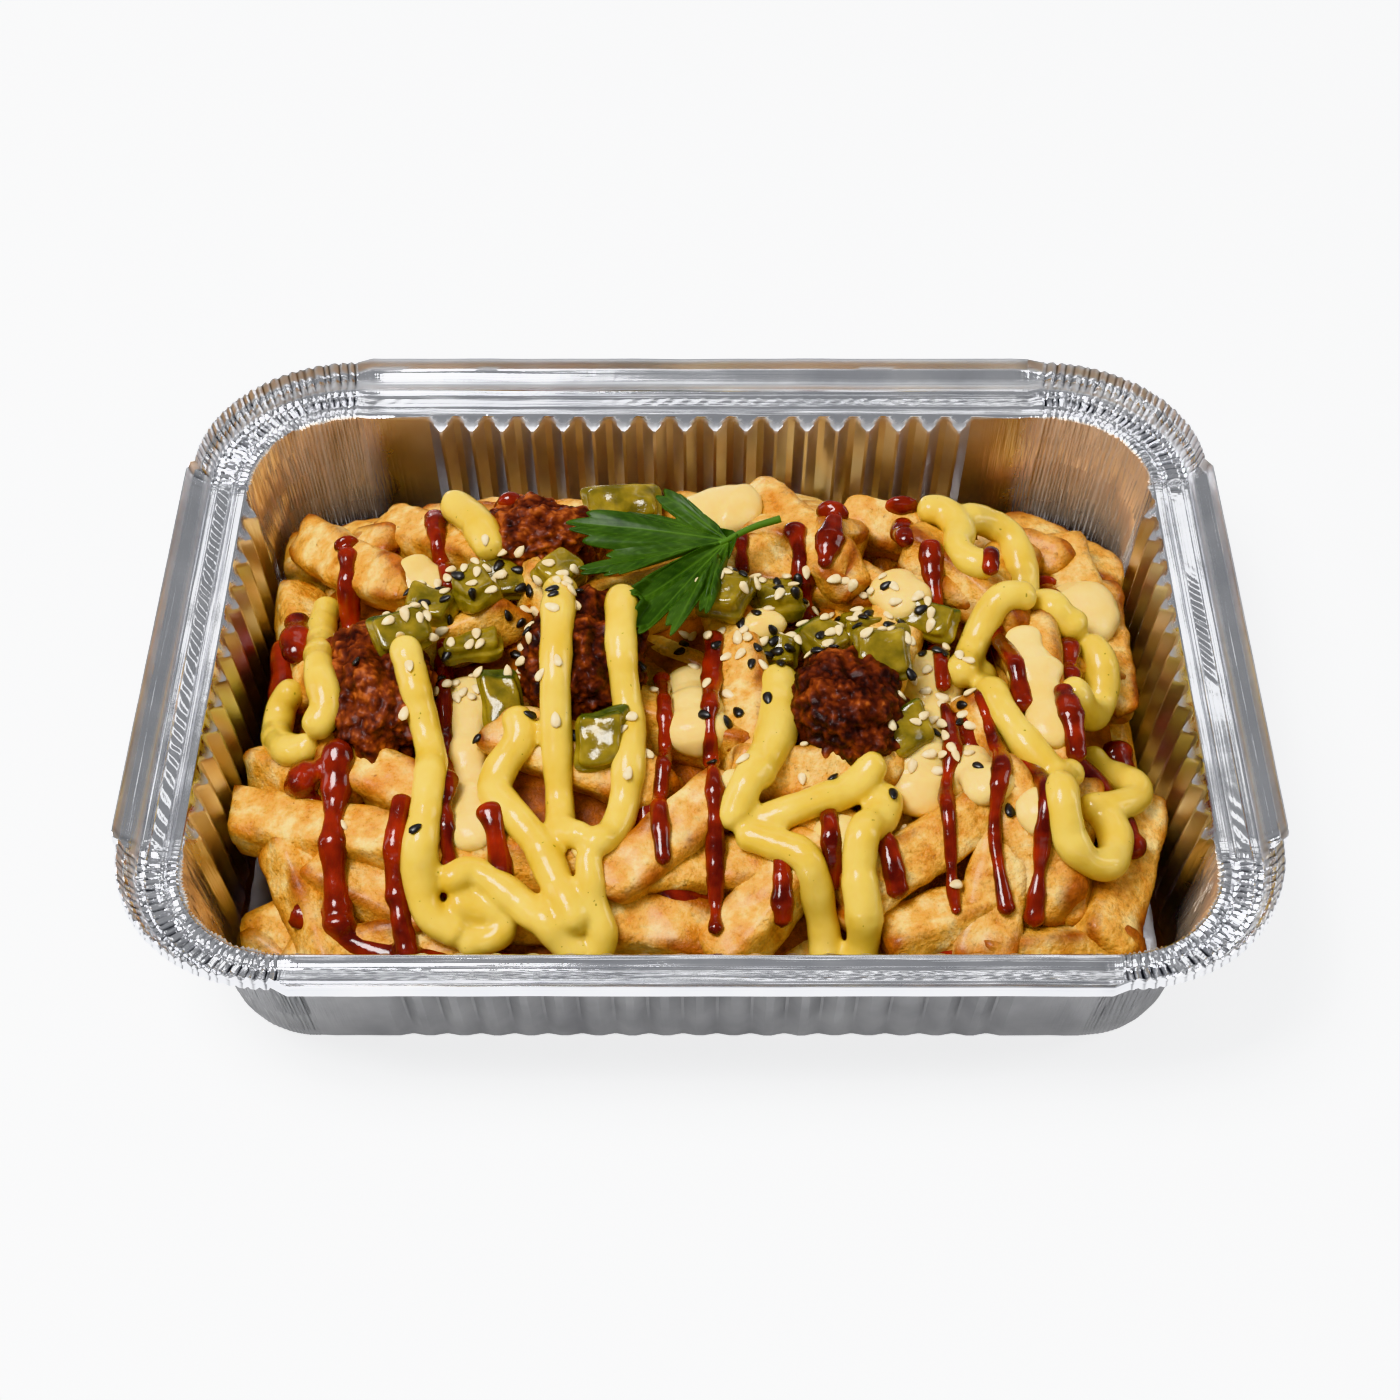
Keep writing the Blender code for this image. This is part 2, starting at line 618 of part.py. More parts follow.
def strand(name, points, start, end, radius, step, lift, supports, home):
    """A sauce strand laid on its supports, thinner at its two tips."""
    path = draped(supports, smooth_route(points, step), radius * lift)
    radii = []
    for i in range(len(path)):
        share = i / (len(path) - 1)
        tip = TIP if i in (0, len(path) - 1) else 1
        radii.append(radius * (start + (end - start) * share) * tip)
    return tube(name, path, radii, home)


def crumbed(number, x, y, long, wide, high, turn, home, grow=0.0):
    """A piece of crumbed chicken: a craggy lump that sits in the fries."""
    bm = bmesh.new()
    bmesh.ops.create_icosphere(bm, subdivisions=3, radius=0.5)
    for vert in bm.verts:
        crag = noise.noise(vert.co * 4 + Vector((number * 7, 0, 0))) * 0.16
        fine = noise.noise(vert.co * 11 + Vector((0, number * 5, 0))) * 0.10
        vert.co *= 1 + crag + fine
    bm.transform(Matrix.Diagonal((long * MM + grow * 3, wide * MM + grow * 3, high * MM + grow * 3, 1)))
    bm.transform(Matrix.Rotation(math.radians(turn), 4, "Z"))
    centre = Vector((x * MM, y * MM, heap_top(x * MM, y * MM) - CHICKEN_SINK))
    bm.transform(Matrix.Translation(centre))
    return from_bmesh(f"chicken_{number + 1}", bm, home)


def pickle(number, x, y, long, wide, thick, turn, tilt, supports, home, grow=0.0):
    """A cut piece of pickle, lying on what is under it."""
    height = drop(supports, x * MM, y * MM)[0]
    bm = bmesh.new()
    bmesh.ops.create_cube(bm, size=1)
    for vert in bm.verts:
        narrow = PICKLE_NARROW if vert.co.z > 0 else 1
        vert.co.x *= long * MM * narrow + grow * 2
        vert.co.y *= wide * MM * narrow + grow * 2
        vert.co.z *= thick * MM + grow * 2
    bmesh.ops.triangulate(bm, faces=bm.faces)
    bm.transform(Matrix.Rotation(math.radians(tilt), 4, "X"))
    bm.transform(Matrix.Rotation(math.radians(turn), 4, "Z"))
    lift = thick * MM / 2 + PICKLE_LIFT
    bm.transform(Matrix.Translation((x * MM, y * MM, height + lift)))
    return from_bmesh(f"pickle_{number + 1:02d}", bm, home)


def seed_mesh(place, normal, turn, home, number):
    """A sesame seed lying on a surface, a third sunk in it."""
    bm = bmesh.new()
    bmesh.ops.create_icosphere(bm, subdivisions=1, radius=0.5)
    bm.transform(Matrix.Diagonal((SEED_LENGTH, SEED_LENGTH * SEED_WIDTH, SEED_LENGTH * SEED_HEIGHT, 1)))
    bm.transform(Matrix.Rotation(turn, 4, "Z"))
    bm.transform(normal.to_track_quat("Z", "X").to_matrix().to_4x4())
    bm.transform(Matrix.Translation(place + normal * SEED_LENGTH * SEED_LIFT))
    return from_bmesh(f"seed_{number}", bm, home)


def above(supports, x, y):
    """Height of what lies highest near a point of the plan."""
    heights = [drop(supports, x, y)[0]]
    for step in range(6):
        angle = math.radians(60 * step)
        heights.append(drop(supports, x + LEAF_REACH * math.cos(angle), y + LEAF_REACH * math.sin(angle))[0])
    return max(heights)


def blade(supports, home, grow):
    """The leaf: a toothed sheet round the point where its leaflets meet, waved and thickened."""
    bm = bmesh.new()
    rings = []
    for share in (0, 0.55, 1):
        ring = []
        for heading, reach in LEAF_OUTLINE:
            turn = math.radians(heading)
            out = share * (reach * MM + grow)
            x = LEAF_BASE[0] * MM + out * math.cos(turn)
            y = LEAF_BASE[1] * MM + out * math.sin(turn)
            wave = LEAF_WAVE * share * math.sin(turn * 9)
            height = max(above(supports, x, y) + LEAF_LIFT + LEAF_WAVE, LEAF_HEIGHT)
            ring.append((x, y, height + wave))
        rings.append(ring)
    middle = bm.verts.new(rings[0][0])
    loops = [[bm.verts.new(point) for point in ring] for ring in rings[1:]]
    for i in range(len(LEAF_OUTLINE)):
        j = (i + 1) % len(LEAF_OUTLINE)
        bm.faces.new((middle, loops[0][i], loops[0][j]))
        bm.faces.new((loops[0][i], loops[1][i], loops[1][j]))
        bm.faces.new((loops[0][i], loops[1][j], loops[0][j]))
    made = from_bmesh("blade", bm, home)
    thick = made.modifiers.new("blade", "SOLIDIFY")
    thick.thickness = LEAF_THICKNESS + grow * 2
    thick.offset = 0
    return bake(made)


def parsley(supports, home, scraps, grow=0.0):
    """The sprig: a leaf joined to its stem."""
    path = []
    for share in (0, 0.35, 0.7, 1):
        x = (LEAF_BASE[0] * (1 - share) + LEAF_STEM[0] * share) * MM
        y = (LEAF_BASE[1] * (1 - share) + LEAF_STEM[1] * share) * MM
        path.append(Vector((x, y, max(above(supports, x, y) + LEAF_LIFT + LEAF_WAVE, LEAF_HEIGHT))))
    path[0] += (path[0] - path[1]) * 0.3
    stem = tube("sprig", path, [radius * MM + grow for radius in (0.8, 1.0, 0.9, 0.8)], home)
    blade(supports, scraps, grow)
    boolean(stem, scraps, "UNION")
    keep_largest(stem)
    stem.name = "parsley_room" if grow else "parsley"
    return stem


def sow(solids, scraps):
    """Fuses each seed to the one solid it lies on, and skips a place near another solid or an edge."""
    landed = {obj: [] for obj in solids}
    supports = trees(solids)
    for x, y, turn in scatter():
        height, normal, under = drop(supports, x, y)
        around = []
        reach = SEED_LENGTH * SEED_ROOM
        for step in range(8):
            angle = math.radians(45 * step)
            near = drop(supports, x + reach * math.cos(angle), y + reach * math.sin(angle))
            around.append(near[2] == under and abs(near[0] - height) < SEED_LENGTH)
        if under and all(around) and normal.z > SEED_STEEPEST:
            landed[under].append((Vector((x, y, height)), normal, turn))
    for obj, places in landed.items():
        for number, (place, normal, turn) in enumerate(places):
            seed_mesh(place, normal, turn, scraps, number)
        boolean(obj, scraps, "UNION")


def scatter():
    """Plan places of the sesame seeds, drawn in their patches from a fixed seed."""
    draw = random.Random(SEED)
    for x, y, long, wide, count in SESAME:
        for _ in range(count):
            angle = draw.uniform(0, 2 * math.pi)
            reach = math.sqrt(draw.random())
            yield (
                (x + long * reach * math.cos(angle)) * MM,
                (y + wide * reach * math.sin(angle)) * MM,
                draw.uniform(0, math.pi),
            )


def room(home):
    """The space that the food has: the cavity inside the flutes, carried on upwards."""
    gap = FLUTE_DEPTH + CLEARANCE
    top_x = TRAY_LENGTH / 2 - RIM_RUN - gap
    top_y = TRAY_WIDTH / 2 - RIM_RUN - gap
    bm = bmesh.new()
    rings = []
    slack = FLUTE_DEPTH * (1 - FLUTE_FOOT)
    for half_x, half_y, height in (
        (top_x - BASE_INSET + slack, top_y - BASE_INSET + slack, FOIL + CLEARANCE),
        (top_x, top_y, CAVITY_TOP),
        (top_x, top_y, CAVITY_TOP * 2),
    ):
        ring = []
        for turn in range(4):
            for point, _ in corner_arc(half_x, half_y, BASE_CORNER - gap, turn):
                ring.append(bm.verts.new((point.x, point.y, height)))
        rings.append(ring)
    for low, high in zip(rings, rings[1:]):
        for i in range(len(low)):
            j = (i + 1) % len(low)
            bm.faces.new((low[i], low[j], high[j], high[i]))
    bm.faces.new(rings[0][::-1])
    bm.faces.new(rings[-1])
    return from_bmesh("room", bm, home)


def main():
    for obj in list(bpy.data.objects):
        bpy.data.objects.remove(obj)
    meal = collection("foil_tray_meal")
    joined = collection("joined")
    cutters = collection("cutters")
    tray(meal)
    heap = core(meal)
    for number, spec in enumerate([*FRIES, *back_fries()]):
        fry(number, *spec, joined)
    chicken = [crumbed(number, *spec, meal) for number, spec in enumerate(CHICKEN)]
    supports = trees([heap, *joined.objects, *chicken])
    laid = []
    for size, points in CREAM:
        laid.append(("cream", points, size * 0.85, size, CREAM_RADIUS, *CREAM_LAID))
    for size, points in RED_RUNS:
        laid.append(("red", points, size, size * 0.9, RED_RADIUS, *RED_LAID))
    for start, end, points in MAYO:
        laid.append(("mayo", points, start, end, MAYO_RADIUS, *MAYO_LAID))
    for size, points in RED_OVER:
        laid.append(("red_over", points, size, size, RED_RADIUS, *OVER_LAID))
    for number, (kind, points, start, end, radius, step, lift) in enumerate(laid):
        made = strand(f"{kind}_{number}", points, start, end, radius, step, lift, supports, joined)
        if kind == "mayo":
            supports += trees([made])
    boolean(heap, joined, "UNION")
    simplify(heap, SIMPLER)
    room(joined)
    boolean(heap, joined, "INTERSECT")
    keep_largest(heap)
    supports = trees([heap, *chicken])
    pickles = [pickle(number, *spec, supports, meal) for number, spec in enumerate(PICKLES)]
    under_leaf = trees([heap, *chicken, *pickles])
    for lump in (heap, *chicken):
        for number, spec in enumerate(PICKLES):
            pickle(number, *spec, supports, cutters, CLEARANCE)
        if lump == heap:
            for number, spec in enumerate(CHICKEN):
                crumbed(number, *spec, cutters, CLEARANCE)
        boolean(lump, cutters, "DIFFERENCE")
    for first, piece in enumerate(pickles):
        for number, spec in enumerate(PICKLES[first + 1 :], first + 1):
            pickle(number, *spec, supports, cutters, CLEARANCE)
        boolean(piece, cutters, "DIFFERENCE")
    solids = [heap, *chicken, *pickles]
    for solid in solids:
        parsley(under_leaf, cutters, joined, CLEARANCE)
        boolean(solid, cutters, "DIFFERENCE")
        keep_largest(solid)
    sow(solids, joined)
    paint(heap, "fried_potato")
    for lump in chicken:
        paint(lump, "crumb")
    for piece in pickles:
        paint(piece, "pickle")
    paint(parsley(under_leaf, meal, joined), "parsley")


main()
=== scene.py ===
"""The looks of a foil tray meal: wrinkled foil, fried potato, crumbed chicken, sauces, pickle and parsley.

Lengths in the tables are millimetres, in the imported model's frame: x along the tray, y away from the
viewer, z up from the table. Meshes are in metres.
"""

import math
import random

import bmesh
import bpy
import numpy as np
from mathutils import Matrix, Vector, noise
from mathutils.bvhtree import BVHTree


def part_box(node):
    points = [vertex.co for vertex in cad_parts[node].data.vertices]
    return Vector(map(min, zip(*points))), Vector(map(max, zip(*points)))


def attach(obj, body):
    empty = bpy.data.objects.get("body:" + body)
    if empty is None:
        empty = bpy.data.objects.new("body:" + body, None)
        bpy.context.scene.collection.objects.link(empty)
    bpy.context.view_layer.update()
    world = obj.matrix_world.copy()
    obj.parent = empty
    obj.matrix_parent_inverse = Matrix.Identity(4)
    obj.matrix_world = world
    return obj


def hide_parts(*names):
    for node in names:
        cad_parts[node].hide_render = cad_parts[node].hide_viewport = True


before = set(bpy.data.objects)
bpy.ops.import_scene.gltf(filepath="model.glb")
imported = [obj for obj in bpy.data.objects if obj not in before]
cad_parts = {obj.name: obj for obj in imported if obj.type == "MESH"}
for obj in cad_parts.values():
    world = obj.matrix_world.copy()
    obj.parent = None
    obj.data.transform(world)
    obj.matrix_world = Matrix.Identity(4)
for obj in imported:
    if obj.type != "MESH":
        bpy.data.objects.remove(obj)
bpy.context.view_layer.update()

MM = 0.001
SEED = 7

# The camera, from the photograph's perspective
CAMERA_PLACE = (0.0, -347.3, 408.6)
CAMERA_ELEVATION = 48
LENS = 62.87
FLOOR_SIZE = 4000

# The tray's sizes
LENGTH = 227.0
WIDTH = 177.0
RIM_RUN = 12.8
CAVITY_TOP = 35.5
CAVITY_CORNER = 22.0
BASE_INSET = 5.2
BASE_CORNER = 20.0
FLUTE_PITCH = 7.0
FLUTE_DEPTH = 2.2
FLUTE_FOOT = 0.5
FLUTE_END = 4.0
FLUTE_DROP = 1.7
FLUTES_LONG = 18
FLUTES_SHORT = 14
CORNER_CRIMPS = 26
CRIMP_STEPS = 5
HEM_STEP = 1.4
FOIL = 0.14

# The heap of fries, as in the solid
FRY_THICKNESS = 12.5
HEAP_EDGE = 16.0
HEAP_RISE = 28.0
HEAP_HALF_LENGTH = 100.0
HEAP_CREST = 8.0
HEAP_FRONT = 80.0
HEAP_BACK = 54.0
MAYO_RADIUS = 3.5
CREAM_RADIUS = 5.5
RED_RADIUS = 2.1
CHICKEN_SINK = 4.0

# Fries that show: x, y, heading, length, depth of the axis below the heap's top
FRIES = (
    (-74, -36, -22, 54, 4), (-41, -45, -7, 44, 8), (-78, -49, -66, 36, 9), (-65, -49, -30, 30, 10),
    (-60, -58, 3, 34, 12), (-63, -28, -34, 34, 7), (-6, -43, 39, 36, 5), (2, -48, 2, 40, 9),
    (-10, -58, -7, 36, 8), (13, -55, 46, 31, 5), (43, -46, 33, 37, 6), (49, -57, 21, 28, 7),
    (58, -53, 77, 30, 6), (65, -42, -62, 32, 5), (74, -42, 77, 34, 9), (70, -60, 10, 32, 7),
    (85, -43, 72, 42, 6), (27, 49, -80, 48, 5), (44, 41, -9, 30, 6), (6, 42, -34, 36, 6),
    (-76, 37, -52, 46, 5), (-57, 41, -44, 40, 6), (-34, 48, -20, 38, 8), (57, 21, -43, 34, 5),
    (77, 8, 3, 28, 8), (88, 17, -88, 38, 7), (8, -5, -85, 40, 9), (-24, -26, -25, 40, 9),
    (71, -6, -87, 44, 6), (22, -27, 4, 36, 9), (29, -44, -30, 30, 8), (84, 32, -80, 34, 8),
    (-80, -21, -37, 34, 9), (62, -24, -68, 30, 9), (-4, -17, -17, 34, 10), (-40, -53, 1, 40, 12),
    (-86, 20, -75, 44, 11), (62, 30, 53, 34, 8), (-58, 8, 20, 40, 9), (40, 6, 70, 38, 10),
    (-8, 20, 25, 36, 9), (24, 24, -20, 36, 9), (-30, 18, -60, 34, 10),
)
# One more that lies on the heap's back, over the solid's top
TOP_FRIES = ((22, 35, -60, 40, 4),)
BACK_FRIES = 11
BACK_SPAN = 82
BACK_ROW = 50
BACK_SINK = 9
DEEP_FRIES = 56
DEEP_SINK = (17, 22)
# One more deep fry, beside the right wall
SIDE_FRY = (90, 0, 88, 46, 20)

# Pale sauce lobes: width as a share of CREAM_RADIUS, then the spine's x, y points
CREAM = (
    (1.25, ((-64, 27), (-58, 19), (-64, 14))),
    (0.85, ((-49, 0), (-48, -14), (-47, -27), (-46, -38), (-43, -47))),
    (0.95, ((-2, 2), (-1, -13), (0, -26))),
    (1.10, ((38, 20), (43, 14), (47, 10))),
    (1.3, ((47, 3), (48, -12), (48, -25), (52, -33))), (1.1, ((44, -18), (44, -28), (46, -37))),
    (1.0, ((53, -22), (56, -32), (60, -39))),
    (0.95, ((30, -41), (26, -50))),
    (0.75, ((67, 7), (70, -10), (72, -25))),
    (1.25, ((77, 30), (82, 24), (85, 13))),
    (0.90, ((67, -36), (69, -47))),
    (0.60, ((9, -34), (5, -38))),
    (0.60, ((-24, -45), (-20, -50))), (1.15, ((-5, 42), (4, 43), (13, 39))), (0.8, ((12, 10), (14, 2))),
)

# Yellow strands: radius at the start and the end as shares of MAYO_RADIUS, then the x, y points
MAYO = (
    (1.0, 0.95, ((-82, 30), (-82, 19), (-80, 6), (-78, -8), (-76, -16), (-79, -22))),
    (1.0, 0.95, ((-78, -21), (-84, -19), (-89, -9), (-89, 0), (-85, 2))),
    (1.0, 0.95, ((-61, -3), (-58, -13), (-54, -27), (-54, -40), (-55, -51), (-53, -58), (-46, -62))),
    (0.95, 0.9, ((-48, -62), (-41, -61), (-39, -58), (-44, -56), (-50, -55))),
    (0.9, 1.0, ((-51, -54), (-45, -50), (-38, -54), (-32, -59), (-26, -64), (-21, -66))),
    (1.05, 0.95, (
        (-38, -18), (-36, -24), (-40, -29), (-41, -34), (-37, -40), (-31, -48), (-27, -56), (-23, -64),
    )),
    (1.05, 0.85, ((-29, 12), (-29, -4), (-29, -20), (-28, -36), (-27, -43), (-22, -48))),
    (1.0, 0.85, ((-16, 8), (-16, -8), (-14, -24), (-15, -38), (-18, -46), (-23, -50))),
    (0.75, 1.0, ((-22, -49), (-21, -57), (-19, -63), (-22, -66))),
    (1.45, 0.95, ((16, -4), (16, -18), (14, -28), (10, -36), (7, -42), (8, -45))),
    (0.95, 0.95, ((7, -43), (15, -42), (24, -39), (31, -35), (36, -30))),
    (0.95, 1.0, ((7, -45), (14, -48), (20, -51), (24, -58), (25, -65))),
    (0.95, 1.05, ((25, -65), (29, -66), (32, -62), (31, -54), (32, -47), (36, -40), (37, -33))),
    (1.0, 1.0, ((47, 39), (53, 39), (56, 33), (55, 26), (58, 21), (63, 21))),
    (1.0, 1.05, ((54, 33), (58, 38), (63, 40), (68, 38), (70, 31), (71, 22), (75, 14), (82, 10))),
    (1.05, 1.0, ((82, 11), (85, 4), (84, -4), (80, -9), (75, -9))),
    (0.95, 0.95, ((53, -8), (55, -2), (58, 6), (63, 12), (71, 14))),
    (0.95, 0.95, ((59, 3), (59, -6), (61, -16), (66, -25), (72, -32))),
    (0.9, 1.0, ((81, -11), (84, -17), (88, -23), (89, -29), (84, -33), (76, -35))),
    (0.9, 1.0, ((77, -28), (73, -31), (71, -39), (72, -47), (76, -50), (81, -48), (83, -41), (81, -34))),
    (1.2, 1.0, ((-57, 43), (-53, 42), (-48, 34), (-44, 24))),
)

# Dark red runs: width as a share of RED_RADIUS, then the x, y points
RED_RUNS = (
    (1.9, ((-78, 38), (-77, 35))), (1.1, ((-77, 35), (-76, 20), (-75, 6))), (1.5, ((-88, 24), (-86, 8))),
    (1.5, ((-85, -26), (-78, -27), (-73, -27))), (1.3, ((-73, -23), (-73, -42), (-71, -60))),
    (1.2, ((-59, -36), (-60, -50), (-57, -65))), (1.0, ((-54, 6), (-52, -22), (-50, -44), (-49, -54))),
    (1.1, ((-42, -38), (-38, -54))), (1.3, ((-59, 46), (-56, 30), (-53, 19))), (2.0, ((-42, 46), (-41, 38))),
    (0.95, ((3, 4), (2, -20), (3, -42), (3, -64))), (0.95, ((-8, -1), (-7, -24), (-8, -40), (-7, -53))),
    (1.0, ((9, 34), (9, 22))), (1.2, ((20, 33), (23, 12))), (2.1, ((29, 36), (28, 32))),
    (1.1, ((29, 32), (26, 18))), (1.1, ((44, 38), (44, 26))), (1.0, ((49, 27), (50, 8), (50, -10))),
    (1.9, ((76, 36), (76, 32))), (1.1, ((76, 32), (77, 16))), (1.1, ((62, 9), (65, -6), (66, -16))),
    (1.1, ((78, 9), (77, -6))), (1.2, ((74, -10), (76, -28))),
    (0.8, ((50, -12), (51, -24), (49, -36), (50, -60))),
    (0.85, ((56, -4), (58, -18), (60, -30), (58, -44), (60, -60))),
    (0.95, ((63, -10), (64, -24), (68, -36), (67, -48), (65, -61))),
    (1.1, ((36, -44), (39, -57))), (1.0, ((25, -38), (26, -54))), (1.1, ((16, -50), (16, -62))),
    (1.6, ((88, -4), (90, -14))), (1.4, ((86, -34), (87, -44))), (1.3, ((-28, -56), (-24, -66))),
)
# Dark red pools between the fries: width as a share of RED_RADIUS, then the x, y points
RED_POOLS = (
    (1.7, ((-80, -52), (-66, -60), (-48, -64), (-30, -65))), (1.8, ((-82, -26), (-70, -38), (-52, -46))),
    (1.8, ((38, -58), (54, -63), (72, -63))), (1.8, ((54, -14), (58, -32), (62, -48))),
    (2.0, ((-12, -30), (-8, -48), (4, -58))), (2.0, ((70, -16), (80, -26), (86, -40))),
    (2.0, ((-90, 20), (-88, 2))), (2.0, ((14, 36), (30, 30))),
)
POOL_DEPTH = 7.6
RED_OVER = (
    (2.1, ((44, 43), (44, 39))), (1.0, ((62, 28), (61, 16))),
)

# Chicken: x, y, size along x, y and z, turn
CHICKEN = (
    (-67, -8, 24, 36, 20, 12), (-24, -3, 25, 32, 20, -10),
    (30, -17, 24, 28, 20, 15), (-35, 33, 27, 20, 17, -5),
)
# Painted shade on the chicken pieces that lie in shadow: how much darker each crust is painted, the last a
# little lighter
CHICKEN_DARK = (0.0, 0.14, 0.14, -0.04)

# Pickle: length, width, thickness, turn, tilt. Each lies where its solid does.
PICKLES = (
    (12, 9, 5, 20, 25), (11, 8, 6, -15, 18), (9, 9, 7, 35, -20), (11, 9, 5, 5, 15), (13, 7, 5, 10, -15),
    (8, 14, 4, 12, 30), (10, 12, 5, -5, 35), (16, 10, 5, 8, 20), (10, 11, 7, -25, 10), (10, 9, 7, 15, -12),
    (11, 7, 5, -5, 28), (9, 10, 6, 40, 15), (10, 9, 5, 15, -25), (11, 11, 5, 0, 30), (11, 11, 9, 25, 25),
    (12, 8, 5, -30, 20), (9, 9, 6, 50, 10),
)

# Sesame: x, y, half length, half width of a patch, seeds in it
SESAME = (
    (-45, 8, 22, 18, 190), (22, 6, 27, 14, 210), (48, -12, 8, 18, 60), (-8, -22, 30, 14, 24),
    (40, -38, 34, 20, 16), (-56, -30, 30, 26, 8),
)
BLACK_SHARE = 0.36
SEED_LENGTH = 3.1
SEED_SPACE = 1.7

# Parsley: where the leaflets meet, the stem's end, and the outline as headings and reaches
LEAF_BASE = (6, 23)
LEAF_STEM = (17, 28)
LEAF_OUTLINE = (
    (20, 2), (80, 3), (118, 4), (126, 9), (130, 16), (134, 19), (138, 20), (142, 19), (146, 14), (149, 13),
    (152, 20), (154, 23), (158, 22), (161, 18), (164, 25), (168, 31), (173, 34), (178, 32), (182, 30),
    (186, 25), (190, 25), (194, 31), (197, 33), (201, 28), (206, 27), (210, 25), (211, 11), (212, 7),
    (214, 7), (215, 13), (217, 23), (221, 27), (224, 29), (227, 26), (231, 32), (235, 34), (238, 30),
    (241, 25), (244, 29), (247, 31), (250, 25), (252, 19), (255, 23), (258, 23), (261, 20), (264, 12),
    (268, 5), (320, 2),
)
LEAF_RIBS = (136, 154, 172, 196, 223, 235, 247, 257)
LEAF_TOOTH = 0.10
LEAF_HEIGHT = 47.0
LEAF_LIFT = 1.2
LEAF_WAVE = 1.3


# Materials


def srgb(red, green, blue):
    """A linear colour from the eight-bit values that a screen shows."""
    found = []
    for value in (red, green, blue):
        share = value / 255
        found.append(share / 12.92 if share <= 0.04045 else ((share + 0.055) / 1.055) ** 2.4)
    return (*found, 1)


class Finish:
    """A Principled material with short ways to add noise, ramps and bumps."""

    def __init__(self, name, **sockets):
        self.made = bpy.data.materials.new(name)
        self.made.use_nodes = True
        self.nodes = self.made.node_tree.nodes
        self.links = self.made.node_tree.links
        self.shader = self.nodes["Principled BSDF"]
        for socket, value in sockets.items():
            self.shader.inputs[socket.replace("_", " ")].default_value = value
        self.place = self.nodes.new("ShaderNodeTexCoord").outputs["Object"]
        self.normal = None

    def noise(self, size_mm, detail=2.0, rough=0.5, distort=0.0):
        """Noise whose features are about that many millimetres, from 0 to 1."""
        mapping = self.nodes.new("ShaderNodeMapping")
        mapping.inputs["Scale"].default_value = (1000 / size_mm,) * 3
        self.links.new(self.place, mapping.inputs["Vector"])
        found = self.nodes.new("ShaderNodeTexNoise")
        found.inputs["Scale"].default_value = 1.0
        found.inputs["Detail"].default_value = detail
        found.inputs["Roughness"].default_value = rough
        found.inputs["Distortion"].default_value = distort
        self.links.new(mapping.outputs[0], found.inputs["Vector"])
        return found.outputs["Fac"]

    def attribute(self, name):
        found = self.nodes.new("ShaderNodeAttribute")
        found.attribute_name = name
        return found.outputs["Fac"]

    def streaks(self, across, along, detail=2.0):
        """Noise on the foil's own sheet, with features of those millimetres across and along the rim."""
        place = self.nodes.new("ShaderNodeCombineXYZ")
        for number, (name, size) in enumerate((("across", across), ("along", along))):
            self.links.new(self.math("DIVIDE", self.attribute(name), size), place.inputs[number])
        found = self.nodes.new("ShaderNodeTexNoise")
        found.inputs["Scale"].default_value = 1.0
        found.inputs["Detail"].default_value = detail
        self.links.new(place.outputs[0], found.inputs["Vector"])
        return found.outputs["Fac"]

    def math(self, kind, a, b=None):
        found = self.nodes.new("ShaderNodeMath")
        found.operation = kind
        for socket, value in zip(found.inputs, (a, b)):
            if isinstance(value, (int, float)):
                socket.default_value = value
            elif value is not None:
                self.links.new(value, socket)
        return found.outputs[0]

    def ramp(self, value, stops):
        found = self.nodes.new("ShaderNodeValToRGB")
        band = found.color_ramp
        while len(band.elements) < len(stops):
            band.elements.new(0.5)
        for element, (place, colour) in zip(band.elements, stops):
            element.position = place
            element.color = colour if len(colour) == 4 else (*colour, 1)
        self.links.new(value, found.inputs["Fac"])
        return found.outputs["Color"]

    def grey(self, value, low, high, start=0.0, end=1.0):
        return self.ramp(value, ((start, (low,) * 3), (end, (high,) * 3)))

    def mix(self, share, a, b, kind="MIX"):
        found = self.nodes.new("ShaderNodeMix")
        found.data_type = "RGBA"
        found.blend_type = kind
        for number, value in ((0, share), (6, a), (7, b)):
            if isinstance(value, (tuple, int, float)):
                found.inputs[number].default_value = value
            else:
                self.links.new(value, found.inputs[number])
        return found.outputs[2]

    def deep(self, weight, radius, scale):
        """Light that passes under the surface, with its reach in metres for red, green and blue."""
        self.shader.inputs["Subsurface Weight"].default_value = weight
        self.shader.inputs["Subsurface Radius"].default_value = radius
        self.shader.inputs["Subsurface Scale"].default_value = scale

    def set(self, socket, value):
        self.links.new(value, self.shader.inputs[socket])
        return self

    def bump(self, height, depth_mm, strength=1.0):
        found = self.nodes.new("ShaderNodeBump")
        found.inputs["Strength"].default_value = strength
        found.inputs["Distance"].default_value = depth_mm * MM
        self.links.new(height, found.inputs["Height"])
        if self.normal is not None:
            self.links.new(self.normal, found.inputs["Normal"])
        self.normal = found.outputs["Normal"]
        self.links.new(self.normal, self.shader.inputs["Normal"])
        return self


